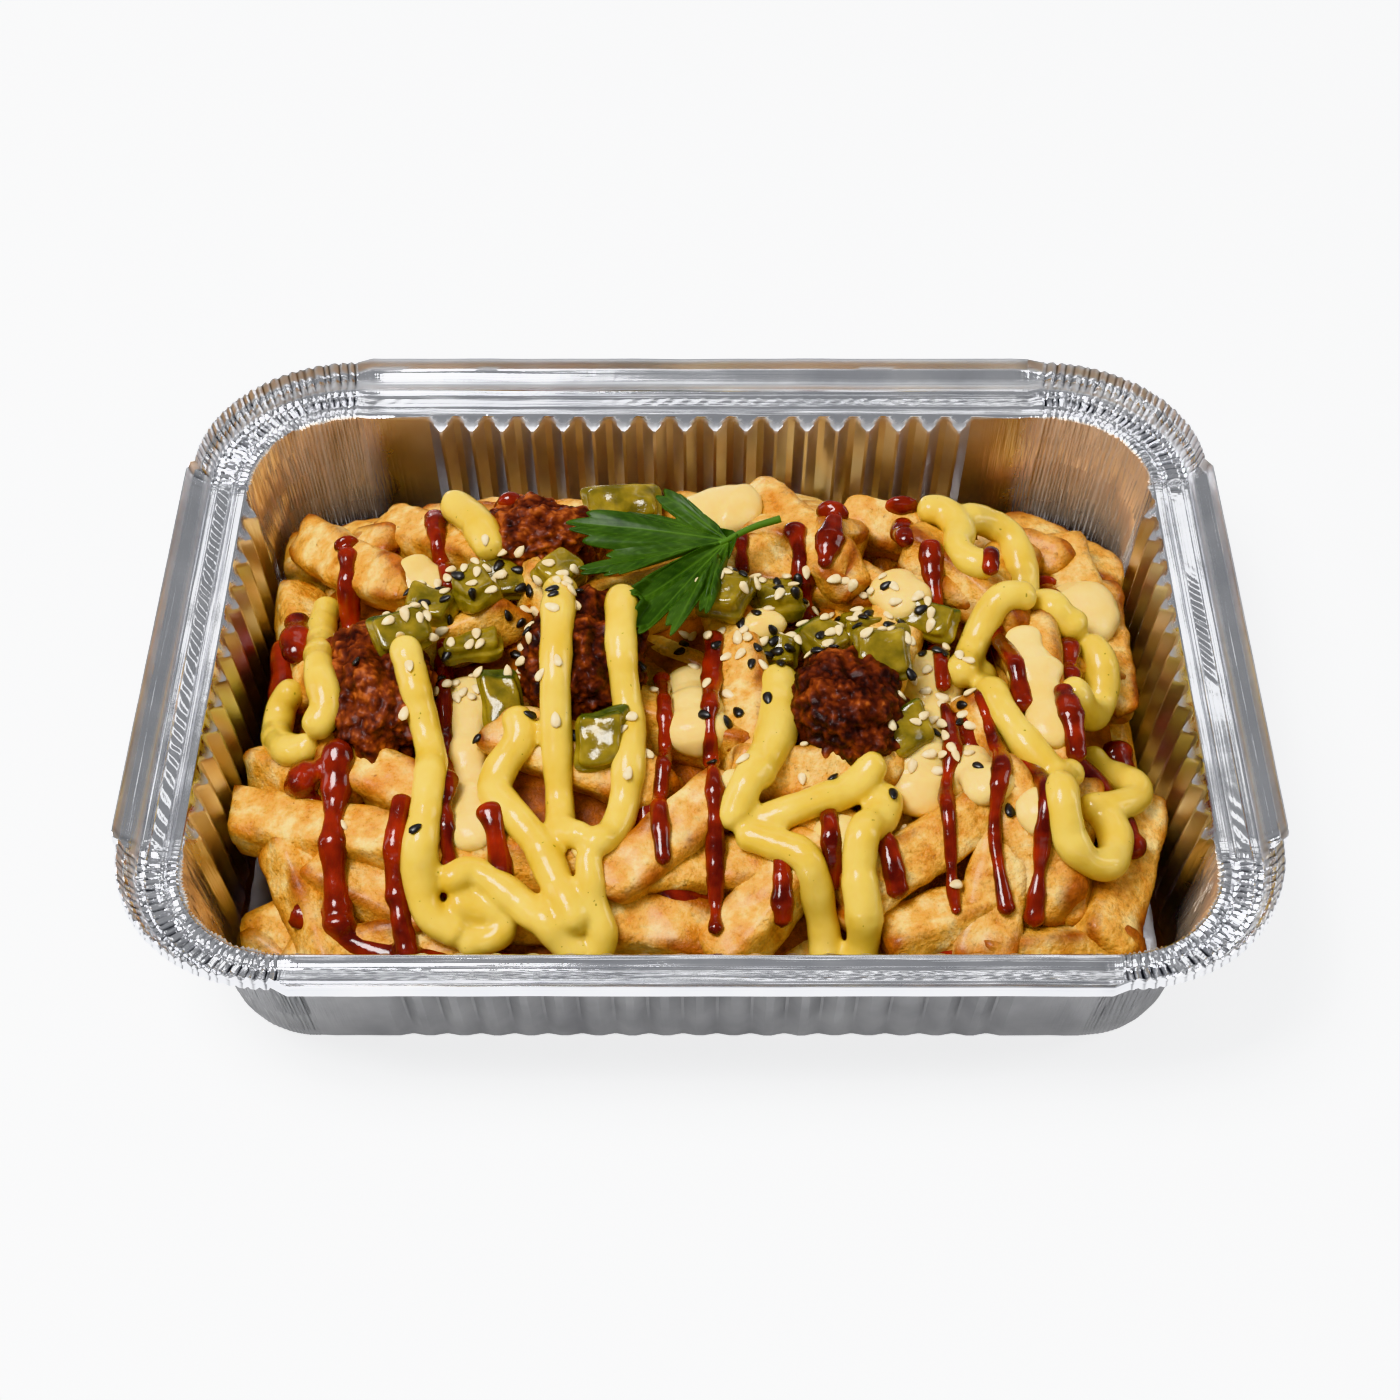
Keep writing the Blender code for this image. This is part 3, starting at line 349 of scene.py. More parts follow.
def foil_finish(name, low, high, creased, smoothest, roughest):
    """Rolled aluminium: streaks along the rim, fine creases down the corners' walls and shallow dents, with
    painted shade in the folds' valleys and on the base, and a painted reflection of the food on the corners'
    walls.
    """
    foil = Finish(name)
    patches = foil.noise(14, 3)
    body = foil.ramp(patches, ((0.3, low), (0.7, high)))
    # Painted reflection: where the corners' walls are most creased, the colour turns to the given warm one,
    # standing in for the food they mirror
    body = foil.mix(foil.grey(foil.attribute("creased"), 0, 1, 0.6, 1.0), body, creased)
    # Painted shade: the colour darkens towards near black in the folds' valleys and on the tray's base
    foil.set("Base Color", foil.mix(foil.attribute("pleat"), body, srgb(60, 60, 62)))
    rims = foil.math("ADD", foil.attribute("rolled"), foil.math("MULTIPLY", foil.noise(5, 3), 0.3))
    rims = foil.math("ADD", rims, foil.math("MULTIPLY", foil.attribute("creased"), 0.45))
    foil.set("Roughness", foil.grey(rims, roughest, smoothest, 0.1, 1.1))
    foil.bump(foil.noise(5, 3, distort=0.5), 0.07, 0.5)
    foil.bump(foil.math("MULTIPLY", foil.streaks(0.5, 60), foil.attribute("rolled")), 0.14)
    foil.bump(foil.math("MULTIPLY", foil.streaks(14, 0.8), foil.attribute("creased")), 0.5)
    # Slanted ripples in the rim's middle band
    slant = foil.math("MULTIPLY", foil.attribute("across"), -BAND_SLANT)
    slant = foil.math("MULTIPLY", foil.math("ADD", foil.attribute("along"), slant), 2 * math.pi / BAND_PITCH)
    wave = foil.math("SINE", foil.math("ADD", slant, foil.math("MULTIPLY", foil.noise(16, 2), 12)))
    foil.bump(foil.math("MULTIPLY", wave, foil.attribute("band")), BAND_RIPPLE)
    # The corners' walls are so finely wrinkled that they scatter some of the light.
    foil.set("Metallic", foil.grey(foil.attribute("creased"), 1.0, 0.66, 0.6, 1.0))
    return foil.made


def potato_finish():
    """Fried potato: pale gold, browned at the edges and ends, with freckles and a little oil."""
    potato = Finish("potato", Specular_IOR_Level=0.3, Coat_Weight=0.22, Coat_Roughness=0.22)
    potato.deep(0.12, (0.003, 0.0022, 0.0006), 0.5)
    patches = potato.noise(6, 4, rough=0.65)
    pale = potato.ramp(
        patches, ((0.32, srgb(208, 132, 50)), (0.5, srgb(238, 180, 90)), (0.64, srgb(252, 220, 146)))
    )
    brown = potato.ramp(potato.noise(4, 3), ((0.3, srgb(128, 60, 18)), (0.7, srgb(190, 106, 36))))
    edge = potato.math("ADD", potato.attribute("brown"), potato.math("MULTIPLY", potato.noise(3, 3), 0.35))
    share = potato.grey(edge, 0, 1, 0.34, 0.92)
    body = potato.mix(share, pale, brown)
    grain = potato.grey(potato.noise(1.1, 3, rough=0.7), 0.76, 1.0, 0.36, 0.52)
    body = potato.mix(1.0, body, grain, "MULTIPLY")
    freckle = potato.grey(potato.noise(1.6, 2), 0, 0.7, 0.68, 0.78)
    potato.set("Base Color", potato.mix(freckle, body, srgb(120, 62, 18)))
    potato.set("Roughness", potato.grey(patches, 0.34, 0.6))
    potato.bump(potato.noise(2.4, 4, rough=0.65), 1.1, 0.8)
    potato.bump(potato.noise(0.7, 3), 0.25, 0.7)
    return potato.made


def mayo_finish():
    """Yellow sauce: smooth, glossy and a little see-through, with specks of herb."""
    mayo = Finish("mayo", Roughness=0.3, Specular_IOR_Level=0.2, Coat_Weight=0.5, Coat_Roughness=0.08)
    mayo.deep(0.22, (0.004, 0.0028, 0.0006), 0.6)
    body = mayo.ramp(mayo.noise(9, 3), ((0.3, srgb(218, 180, 74)), (0.7, srgb(234, 204, 106))))
    speck = mayo.grey(mayo.noise(1.3, 1), 0, 0.75, 0.755, 0.775)
    mayo.set("Base Color", mayo.mix(speck, body, srgb(120, 110, 30)))
    mayo.bump(mayo.noise(3.5, 2), 0.25, 0.5)
    mayo.bump(mayo.noise(1.0, 2), 0.05, 0.5)
    return mayo.made


def cream_finish():
    cream = Finish("cream", Roughness=0.3, Specular_IOR_Level=0.15, Coat_Weight=0.3, Coat_Roughness=0.12)
    cream.deep(0.35, (0.005, 0.003, 0.0012), 0.6)
    cream.set(
        "Base Color", cream.ramp(cream.noise(7, 3), ((0.3, srgb(240, 204, 124)), (0.7, srgb(247, 218, 150))))
    )
    cream.bump(cream.noise(2.6, 3), 0.3, 0.5)
    return cream.made


def red_finish():
    """Dark red sauce: near black where thick, red where thin, with wet highlights."""
    red = Finish("red_sauce", Specular_IOR_Level=0.25, Roughness=0.2, Coat_Weight=0.6, Coat_Roughness=0.04)
    red.deep(0.25, (0.004, 0.0006, 0.0003), 0.5)
    body = red.ramp(red.noise(6, 2), ((0.35, srgb(78, 12, 4)), (0.7, srgb(152, 38, 8))))
    red.set("Base Color", body)
    red.bump(red.noise(2.2, 2), 0.35, 0.6)
    return red.made


def crumb_finish():
    crumb = Finish("crumb", Specular_IOR_Level=0.2, Coat_Weight=0.08, Coat_Roughness=0.2)
    # The crust's colour follows the crumbs' height: hollows painted near black as shade and tips painted
    # lighter, with noise for the crumbs' own tone
    height = crumb.attribute("height")
    grain = crumb.math("ADD", height, crumb.math("MULTIPLY", crumb.noise(1.6, 3), 0.6))
    body = crumb.ramp(
        grain,
        (
            (0.30, srgb(30, 9, 6)), (0.55, srgb(70, 25, 13)),
            (0.80, srgb(116, 50, 24)), (1.0, srgb(172, 92, 46)),
        ),
    )
    crumb.set("Base Color", body)
    crumb.set("Roughness", crumb.grey(crumb.noise(2, 2), 0.35, 0.7))
    crumb.bump(crumb.noise(0.6, 3), 0.2, 0.7)
    return crumb.made


def pickle_finish():
    pickle = Finish("pickle", Specular_IOR_Level=0.25, Roughness=0.16, Coat_Weight=0.5, Coat_Roughness=0.05)
    pickle.shader.inputs["Transmission Weight"].default_value = 0.12
    pickle.deep(0.35, (0.004, 0.004, 0.001), 0.8)
    flesh = pickle.ramp(
        pickle.noise(4, 3), ((0.3, srgb(106, 92, 28)), (0.55, srgb(150, 126, 42)), (0.8, srgb(188, 160, 66)))
    )
    skin = pickle.ramp(pickle.noise(2, 3), ((0.3, srgb(60, 68, 20)), (0.8, srgb(96, 98, 34))))
    pickle.set("Base Color", pickle.mix(pickle.attribute("skin"), flesh, skin))
    pickle.bump(pickle.noise(1.4, 3), 0.25, 0.6)
    pickle.bump(pickle.noise(0.4, 2), 0.08, 0.5)
    return pickle.made


def seed_finish(name, low, high, rough):
    seed = Finish(name, Coat_Weight=0.3, Coat_Roughness=0.2)
    seed.set("Base Color", seed.ramp(seed.noise(1.5, 2), ((0.3, low), (0.7, high))))
    seed.set("Roughness", seed.grey(seed.noise(0.8, 2), rough, rough + 0.15))
    seed.bump(seed.noise(0.5, 2), 0.05, 0.5)
    return seed.made


def leaf_finish():
    leaf = Finish("leaf", Specular_IOR_Level=0.2, Coat_Weight=0.06, Coat_Roughness=0.25)
    leaf.deep(0.15, (0.001, 0.002, 0.0005), 0.5)
    body = leaf.ramp(leaf.noise(8, 3), ((0.3, srgb(36, 60, 20)), (0.7, srgb(66, 92, 38))))
    leaf.set("Base Color", leaf.mix(leaf.attribute("vein"), body, srgb(104, 140, 58)))
    leaf.set("Roughness", leaf.grey(leaf.noise(3, 2), 0.34, 0.5))
    leaf.bump(leaf.noise(1.2, 3), 0.15, 0.5)
    return leaf.made


# Meshes


def piece(name, points, faces, finish, smooth=None, **attributes):
    """A mesh object from points in millimetres. smooth is the sharpest angle that still shades smooth."""
    mesh = bpy.data.meshes.new(name)
    mesh.from_pydata((np.asarray(points) * MM).tolist(), [], [tuple(face) for face in faces])
    for key, values in attributes.items():
        mesh.attributes.new(key, "FLOAT", "POINT").data.foreach_set("value", np.asarray(values, np.float32))
    made = bpy.data.objects.new(name, mesh)
    bpy.context.scene.collection.objects.link(made)
    mesh.shade_smooth()
    if smooth is not None:
        mesh.set_sharp_from_angle(angle=math.radians(smooth))
    if finish:
        mesh.materials.append(finish)
    return made


def bake(obj):
    """Applies the object's modifiers."""
    bpy.context.view_layer.update()
    graph = bpy.context.evaluated_depsgraph_get()
    mesh = bpy.data.meshes.new_from_object(obj.evaluated_get(graph))
    obj.modifiers.clear()
    obj.data = mesh
    return obj


def merged(parts):
    """Several (points, faces) as one."""
    points = []
    faces = []
    count = 0
    for part_points, part_faces in parts:
        points.append(np.asarray(part_points))
        faces += [tuple(index + count for index in face) for face in part_faces]
        count += len(part_points)
    return np.concatenate(points), faces


def grid_faces(rows, columns, closed=True):
    """Quads between rows of points, round a closed or an open row."""
    faces = []
    for row in range(rows - 1):
        for column in range(columns if closed else columns - 1):
            ahead = (column + 1) % columns
            here = row * columns
            above = here + columns
            faces.append((here + column, here + ahead, above + ahead, above + column))
    return faces


def ripple(points, size, seed, waves=16):
    """Smooth random bumps about one high, with features of about that size."""
    draw = np.random.default_rng(seed)
    turn = draw.normal(size=(waves, 3))
    turn /= np.linalg.norm(turn, axis=1)[:, None]
    pace = turn * (2 * math.pi / size) * draw.uniform(0.5, 1.5, (waves, 1))
    start = draw.uniform(0, 2 * math.pi, waves)
    return np.sin(np.asarray(points) @ pace.T + start).sum(1) / math.sqrt(waves / 2)


def heap_top(x, y):
    """Height of the heap of fries over a point of the base."""
    reach = HEAP_BACK if y > HEAP_CREST else HEAP_FRONT
    power = 4 if y > HEAP_CREST else 2.8
    along = min(1, (abs(x) / HEAP_HALF_LENGTH) ** 4)
    across = min(1, (abs(y - HEAP_CREST) / reach) ** power)
    return HEAP_EDGE + HEAP_RISE * (1 - along) * (1 - across)


def keep_in(points):
    """Presses points that reach the tray's wall back inside it."""
    gap = FLUTE_DEPTH + 0.5
    lean = BASE_INSET * np.clip(1 - points[:, 2] / CAVITY_TOP, 0, 1)
    half_x = LENGTH / 2 - RIM_RUN - gap - lean
    half_y = WIDTH / 2 - RIM_RUN - gap - lean
    radius = CAVITY_CORNER - gap
    found = points.copy()
    found[:, 0] = np.clip(points[:, 0], -half_x, half_x)
    found[:, 1] = np.clip(points[:, 1], -half_y, half_y)
    over_x = np.abs(found[:, 0]) - (half_x - radius)
    over_y = np.abs(found[:, 1]) - (half_y - radius)
    reach = np.hypot(over_x, over_y)
    out = (over_x > 0) & (over_y > 0) & (reach > radius)
    scale = np.where(out, radius / np.maximum(reach, 1e-6), 1)
    corner_x = np.sign(found[:, 0]) * (half_x - radius + over_x * scale)
    corner_y = np.sign(found[:, 1]) * (half_y - radius + over_y * scale)
    found[:, 0] = np.where(out, corner_x, found[:, 0])
    found[:, 1] = np.where(out, corner_y, found[:, 1])
    found[:, 2] = np.maximum(points[:, 2], 0.6)
    return found


class Ground:
    """What lies under the next thing: search trees of the pieces made so far."""

    def __init__(self):
        self.trees = []

    def add(self, obj):
        mesh = obj.data
        points = [vert.co / MM for vert in mesh.vertices]
        self.trees.append(BVHTree.FromPolygons(points, [tuple(face.vertices) for face in mesh.polygons]))

    def drop(self, x, y):
        """Height and slope of what lies highest there."""
        best = (HEAP_EDGE / 2, Vector((0, 0, 1)))
        for tree in self.trees:
            hit, normal, _, _ = tree.ray_cast(Vector((x, y, 200)), Vector((0, 0, -1)))
            if hit and hit.z > best[0]:
                best = (hit.z, normal)
        return best


# The tray


# One flute's columns: the place along its pitch, and how far in it stands there
FLUTE_SECTION = ((0.0, 0.0), (0.11, 0.0), (0.28, 0.5), (0.45, 1.0), (0.55, 1.0), (0.72, 0.5), (0.89, 0.0))


def perimeter():
    """Columns round the tray: side, whether a corner, place on it, flute's share, distance to a corner."""
    columns = []
    for turn in range(4):
        steps = CORNER_CRIMPS * CRIMP_STEPS
        for step in range(steps):
            columns.append((turn, True, step / steps, 0.0, 0.0))
        count = FLUTES_SHORT if turn % 2 else FLUTES_LONG
        half = (WIDTH if turn % 2 else LENGTH) / 2 - RIM_RUN - CAVITY_CORNER
        fluted = count * FLUTE_PITCH / 2
        plain = 5
        places = [(-half + (half - fluted) * step / plain, 0.0) for step in range(plain)]
        for number in range(count):
            places += [(-fluted + FLUTE_PITCH * (number + along), share) for along, share in FLUTE_SECTION]
        places += [(fluted + (half - fluted) * step / plain, 0.0) for step in range(plain)]
        for along, share in places:
            columns.append((turn, False, along / half, share, half - abs(along)))
    return columns


def ring(columns, half_x, half_y, radius):
    """Points and outward directions of a rounded rectangle at every column."""
    points = np.zeros((len(columns), 2))
    outs = np.zeros((len(columns), 2))
    for number, (turn, corner, place, _, _) in enumerate(columns):
        swap = turn % 2
        long, short = (half_y, half_x) if swap else (half_x, half_y)
        centre = np.array((long - radius, short - radius))
        if corner:
            angle = math.radians(90) * place
            out = np.array((math.cos(angle), math.sin(angle)))
            point = centre + out * radius
        else:
            out = np.array((0.0, 1.0))
            point = np.array((-(long - radius) * place, short))
        angle = math.radians(90) * turn
        spin = np.array(((math.cos(angle), -math.sin(angle)), (math.sin(angle), math.cos(angle))))
        points[number] = spin @ point
        outs[number] = spin @ out
    return points, outs


# The rim's section: distance out from the cavity's edge, height above it, share of the corner's crimps
RIM_SECTION = (
    (0.15, 0.3, 0.15), (0.5, 0.58, 0.3), (1.2, 0.68, 0.45), (2.0, 0.6, 0.45), (2.45, 0.3, 0.35),
    (2.8, 0.15, 0.3), (3.05, 0.22, 0.3), (3.3, 0.52, 0.25), (3.55, 0.52, 0.4), (3.85, 0.36, 0.9),
    (4.3, 0.38, 1.0), (4.75, 0.42, 1.0), (5.2, 0.46, 1.0), (5.7, 0.5, 1.0), (6.25, 0.62, 0.8),
    (6.5, 0.98, 0.3), (6.75, 1.0, 0.3), (7.0, 0.74, 0.6), (7.6, 0.76, 0.7), (7.95, 0.98, 0.4),
    (8.2, 1.6, 0.3), (8.45, 2.3, 0.4), (8.8, 2.75, 0.8), (9.9, 3.45, 1.0), (11.1, 4.3, 1.0),
    (11.5, 4.75, 0.9), (11.75, 5.6, 0.8), (12.0, 6.6, 0.8), (12.3, 7.05, 0.7), (12.6, 7.0, 0.7),
    (12.72, 6.6, 0.7), (12.5, 5.9, 0.7), (12.78, 5.05, 0.7), (12.7, 4.6, 0.7), (12.2, 4.4, 0.6),
)
# The walls' rows, as shares of their height
WALL_SECTION = (1.0, 0.98, 0.96, 0.94, 0.86, 0.68, 0.48, 0.28, 0.1, 0.03, 0.0)
# The base: share of its size, and height over its lower face
BASE_SECTION = ((0.94, 0.0), (0.925, 0.5), (0.5, 0.7))
BAND_PITCH = 4.2
BAND_SLANT = 1.2
BAND_RIPPLE = 0.12
# Painted shade on the tray's base, where it shows between the heap and the walls
BASE_DARK = 0.92
CRIMP_HEIGHT = 0.6
CREASE_DEPTH = 0.62
# Painted shade in the valleys of the crimps and the walls' creases
PLEAT_DARK = 0.85
STEP_SHEEN = 0.15


def fold(phase):
    """A sharp fold: 1 at whole numbers, -1 halfway between."""
    return 1 - 4 * np.abs(phase - np.round(phase))


def tray(bright, matt):
    """The foil tray: rim, fluted walls, creased corners and a flat base with a raised panel."""
    columns = perimeter()
    top_x = LENGTH / 2 - RIM_RUN
    top_y = WIDTH / 2 - RIM_RUN
    inner, outs = ring(columns, top_x, top_y, CAVITY_CORNER)
    low, low_outs = ring(columns, top_x - BASE_INSET, top_y - BASE_INSET, BASE_CORNER)
    corner = np.array([column[1] for column in columns])
    place = np.array([column[2] for column in columns])
    flute = np.array([column[3] for column in columns])
    past = np.array([column[4] for column in columns])
    turns = np.array([column[0] for column in columns])
    flat = np.c_[inner, np.zeros(len(inner))]
    # Crimps run round the corners and die out over the first few millimetres of each side.
    beside = np.where(place < 0, CORNER_CRIMPS + past / 2, -past / 2)
    count = np.where(corner, place * CORNER_CRIMPS, beside)
    fade = np.clip(1 - past / 6, 0, 1) ** 1.5
    draw = np.random.default_rng(SEED)
    heights = draw.uniform(0.6, 1.3, (4, 3, CORNER_CRIMPS + 80))
    skews = draw.uniform(-0.22, 0.22, (4, 3, CORNER_CRIMPS + 80))
    along_rim = np.concatenate([[0], np.cumsum(np.linalg.norm(np.diff(inner, axis=0), axis=1))])
    rows = []
    sheet = {key: [] for key in ("along", "across", "rolled", "creased", "pleat", "band")}

    def add(points, *values):
        rows.append(points)
        for key, value in zip(sheet, (along_rim, *values)):
            sheet[key].append(np.zeros(len(inner)) + value)

    for run, rise, share in RIM_SECTION[::-1]:
        zone = 0 if run < 3.4 else (1 if run < 8.3 else 2)
        phase = count + ripple(flat, 14, 3) * 0.12 + (run - 6) * 0.03
        sheen = STEP_SHEEN if abs(run - 8.5) < 0.45 or run > 11.4 else 1
        index = np.floor(phase).astype(int) + 30
        step = np.floor(phase)
        phase = phase + skews[turns, zone, index] * np.sin(math.pi * (phase - step))
        # Painted shade in the crimps' valleys
        pleat = np.clip(-fold(phase) * 2 - 0.6, 0, 1) * fade * min(1.0, share + 0.2) * PLEAT_DARK
        crimp = fold(phase) * heights[turns, zone, index] * CRIMP_HEIGHT * share * fade
        hem = np.clip((run - 8.8) / 2.5, 0, 1) * HEM_STEP * np.clip(1 - past / 1.2, 0, 1)
        patch = np.clip(ripple(flat, 60, 21) * 0.6 + 0.5 + np.clip(1 - past / 30, 0, 1) * 0.8, 0, 1.4)
        patch = patch * np.where(turns % 2 == 1, 1.0, 0.3) * (1 - fade)
        band = np.clip((run - 3.6) * 2, 0, 1) * np.clip((6.3 - run) * 2, 0, 1) * patch
        loose = ripple(np.c_[inner + outs * run, np.full(len(inner), run)], 18, 31) * 0.04 * (1 - fade)
        out = np.minimum(run - hem + np.where(run > 12, -np.abs(crimp) * 0.5, 0), RIM_RUN - 0.02)
        placed = np.c_[inner + outs * out[:, None], CAVITY_TOP + rise + crimp + loose]
        add(placed, -run, (1 - 0.6 * fade) * sheen, fade * 0.6 * sheen, pleat, band)
    for share in WALL_SECTION:
        shoulder = 0.5 + 0.5 * math.sqrt(1 - min(1.0, max(0.0, (share - 0.94) / 0.06)) ** 2)
        shoulder = shoulder * min(1.0, 0.15 + CAVITY_TOP * share / FLUTE_END)
        depth = FLUTE_DEPTH * (FLUTE_FOOT + (1 - FLUTE_FOOT) * share) * shoulder
        points = low + (inner - low) * share
        out = outs * share + low_outs * (1 - share)
        fine = fold(count * 1.5 + ripple(flat, 9, 41) * 0.5 + share * 0.8) * 0.5 + 0.5
        broad = ripple(np.c_[inner, np.full(len(inner), share * 8)], 6, 51) * 0.35
        # How creased the foil is near the corners; the same share also carries the painted reflection of the
        # food
        creased = np.clip(1 - past / 14, 0, 1) * np.clip(share * 3, 0.2, 1)
        dent = ripple(np.c_[points, np.full(len(inner), CAVITY_TOP * share)], 20, 71) * 0.2
        dent = dent * np.clip(share * (1 - share) * 4, 0, 1) * (flute == 0)
        foot = max(0.0, 1 - CAVITY_TOP * share / 2.0)
        inward = flute * depth + creased * (fine + broad) * CREASE_DEPTH + dent + foot**2 * 1.2
        height = FOIL + (CAVITY_TOP - FOIL) * share - flute * FLUTE_DROP * max(0.0, share - 0.7) / 0.3
        # Painted shade in the valleys of the walls' creases
        pleat = np.clip(0.7 - fine * 2, 0, 1) * creased * PLEAT_DARK * 0.3
        add(np.c_[points - out * inward[:, None], height], CAVITY_TOP * (1 - share), 0.1, creased, pleat, 0)
    base = rows[-1][:, :2]
    for shrink, z in BASE_SECTION:
        # The base is painted dark all over, as shade under the heap
        add(np.c_[base * shrink, np.full(len(base), FOIL + z)], CAVITY_TOP, 0, 0, BASE_DARK, 0)
    points = np.concatenate([*rows, [(0, 0, FOIL + BASE_SECTION[-1][1])]])
    faces = grid_faces(len(rows), len(columns))
    last = (len(rows) - 1) * len(columns)
    for column in range(len(columns)):
        faces.append((last + column, last + (column + 1) % len(columns), len(points) - 1))
    # The base's middle point gets the same painted shade
    middle = {"pleat": BASE_DARK}
    values = {key: np.concatenate([*found, [middle.get(key, 0.0)]]) for key, found in sheet.items()}
    made = piece("foil_tray", points, faces, bright, **values)
    made.data.materials.append(matt)
    thick = made.modifiers.new("foil", "SOLIDIFY")
    thick.thickness = FOIL * MM
    thick.offset = -1
    thick.material_offset = 1
    bake(made)
    made.data.set_sharp_from_angle(angle=math.radians(25))
    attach(made, "root")
    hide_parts("tray")
    return made


# Fries


def fry_shape(number, x, y, heading, length, sink, fineness=1.0):
    """One fry as a loft of rounded squares: bent, tapered and lumpy. Gives its browning too."""
    draw = random.Random(SEED + number)
    width = FRY_THICKNESS * draw.uniform(0.9, 1.1)
    height = FRY_THICKNESS * draw.uniform(0.85, 1.05)
    roll = draw.uniform(-35, 35)
    taper = draw.uniform(0.78, 0.95)
    direction = Vector((math.cos(math.radians(heading)), math.sin(math.radians(heading)), 0))
    centre = Vector((x, y, 0))
    ends = []
    for side in (-1, 1):
        end = centre + direction * side * (length / 2 - width / 2)
        ends.append(Vector((end.x, end.y, heap_top(end.x, end.y) - sink)))
    axis = ends[1] - ends[0]
    whole = axis.length + width
    steps = max(14, round(whole / 1.1 * fineness))
    around = max(16, round(40 * fineness))
    slant = draw.uniform(-0.35, 0.35), draw.uniform(-0.35, 0.35)
    bend = draw.uniform(-1.3, 1.3), draw.uniform(-1.0, 1.0)
    t = np.linspace(-1, 1, steps)
    t = np.sign(t) * (1 - (1 - np.abs(t)) ** 1.35)
    angle = np.linspace(0, 2 * math.pi, around, endpoint=False)
    square = (np.abs(np.cos(angle)) ** 6 + np.abs(np.sin(angle)) ** 6) ** (-1 / 6)
    ring_y = np.cos(angle) * square
    ring_z = np.sin(angle) * square
    points = []
    brown = []
    corner = np.clip((square - 1) / 0.24, 0, 1)
    for share in t:
        size = (1 - abs(share) ** 10) ** (1 / 4) if abs(share) < 1 else 0.0
        size = max(size, 0.02) * (1 + (taper - 1) * (share + 1) / 2)
        lean = slant[0] * ring_y * width / 2 + slant[1] * ring_z * height / 2
        px = whole / 2 * share + lean * abs(share) ** 2
        py = ring_y * width / 2 * size + bend[0] * (1 - share**2)
        pz = ring_z * height / 2 * size + bend[1] * (1 - share**2)
        points.append(np.c_[px, py, pz])
        brown.append(corner**2 * 0.5 + max(0, abs(share) - 0.7) / 0.3 * 0.45)
    points = np.concatenate(points)
    spread = points * np.array((0.15, 1, 1))
    spread /= np.maximum(np.linalg.norm(spread, axis=1), 1e-6)[:, None]
    lumps = ripple(points, 15, number * 3 + 1) * 0.26 + ripple(points, 5, number * 3 + 2) * 0.12
    lumps += ripple(points, 2.6, number * 3 + 7) * 0.05
    points = points + spread * lumps[:, None]
    turn = axis.to_track_quat("X", "Z").to_matrix() @ Matrix.Rotation(math.radians(roll), 3, "X")
    middle = (ends[0] + ends[1]) / 2
    placed = points @ np.array(turn).T + np.array(middle)
    faces = grid_faces(len(t), around)
    faces.append(tuple(range(around))[::-1])
    faces.append(tuple(range((len(t) - 1) * around, len(t) * around)))
    shade = np.concatenate(brown) + ripple(points, 12, number * 3 + 5) * 0.16 + draw.uniform(-0.14, 0.14)
    return keep_in(placed), faces, shade


def back_fries():
    draw = random.Random(SEED + len(FRIES))
    for number in range(BACK_FRIES):
        x = BACK_SPAN * (2 * number / (BACK_FRIES - 1) - 1)
        yield x, BACK_ROW + draw.uniform(-4, 2), draw.uniform(-50, 50), draw.uniform(26, 36), BACK_SINK


def deep_fries():
    """Fries under the ones that show, so that the gaps between them look into the heap."""
    draw = random.Random(SEED * 11)
    for _ in range(DEEP_FRIES):
        x = draw.uniform(-80, 80)
        y = draw.uniform(-62, 54)
        yield x, y, draw.uniform(0, 180), draw.uniform(34, 50), draw.uniform(*DEEP_SINK)
    yield SIDE_FRY


def potato_piece(name, shapes, finish):
    points, faces = merged([(shape[0], shape[1]) for shape in shapes])
    made = piece(name, points, faces, finish, brown=np.concatenate([shape[2] for shape in shapes]))
    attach(made, "root")
    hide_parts("fries")
    return made


def core(finish):
    """The hidden middle of the heap: rough, and dark brown all over as painted shade in the gaps that look
    into it.
    """
    rows = []
    for share in (0.94, 1.0, 0.9, 0.78, 0.6, 0.4, 0.2):
        angle = np.linspace(0, 2 * math.pi, 120, endpoint=False)
        x = 88 * share * np.sign(np.cos(angle)) * np.abs(np.cos(angle)) ** 0.55
        y = 62 * share * np.sign(np.sin(angle)) * np.abs(np.sin(angle)) ** 0.55 - 4
        z = np.array([heap_top(a, b) - 13 for a, b in zip(x, y)])
        rows.append(np.c_[x, y, np.full(120, 1.0) if not rows else z])
    points = np.concatenate(rows)
    points[120:, 2] += ripple(points[120:], 12, 5) * 1.0
    faces = grid_faces(len(rows), 120)
    faces.append(tuple(range(120))[::-1])
    faces.append(tuple(range(len(points) - 120, len(points))))
    # Painted shade: the browning is held high all over, so the gaps into the heap look dark
    made = piece("heap_core", points, faces, finish, brown=np.full(len(points), 0.8))
    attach(made, "root")
    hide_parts("fries")
    return made


# Sauces


def smooth_route(points, step):
    """Points every step or so along a smooth curve through the route's own points."""
    route = [Vector(point) for point in points]
    route = [route[0] * 2 - route[1], *route, route[-1] * 2 - route[-2]]
    found = []
    for a, b, c, d in zip(route, route[1:], route[2:], route[3:]):
        count = max(1, round((c - b).length / step))
        for number in range(count):
            t = number / count
            square = (a * 2 - b * 5 + c * 4 - d) * t * t
            cube = (b * 3 - a - c * 3 + d) * t**3
            found.append((b * 2 + (c - a) * t + square + cube) / 2)
    found.append(route[-2])
    return np.array([tuple(point) for point in found])


def blurred(values, width):
    """Values averaged over neighbours, with the ends held."""
    reach = max(1, round(width * 2.5))
    weights = np.exp(-0.5 * (np.arange(-reach, reach + 1) / width) ** 2)
    weights /= weights.sum()
    padded = np.concatenate([np.full(reach, values[0]), values, np.full(reach, values[-1])])
    return np.convolve(padded, weights, mode="valid")


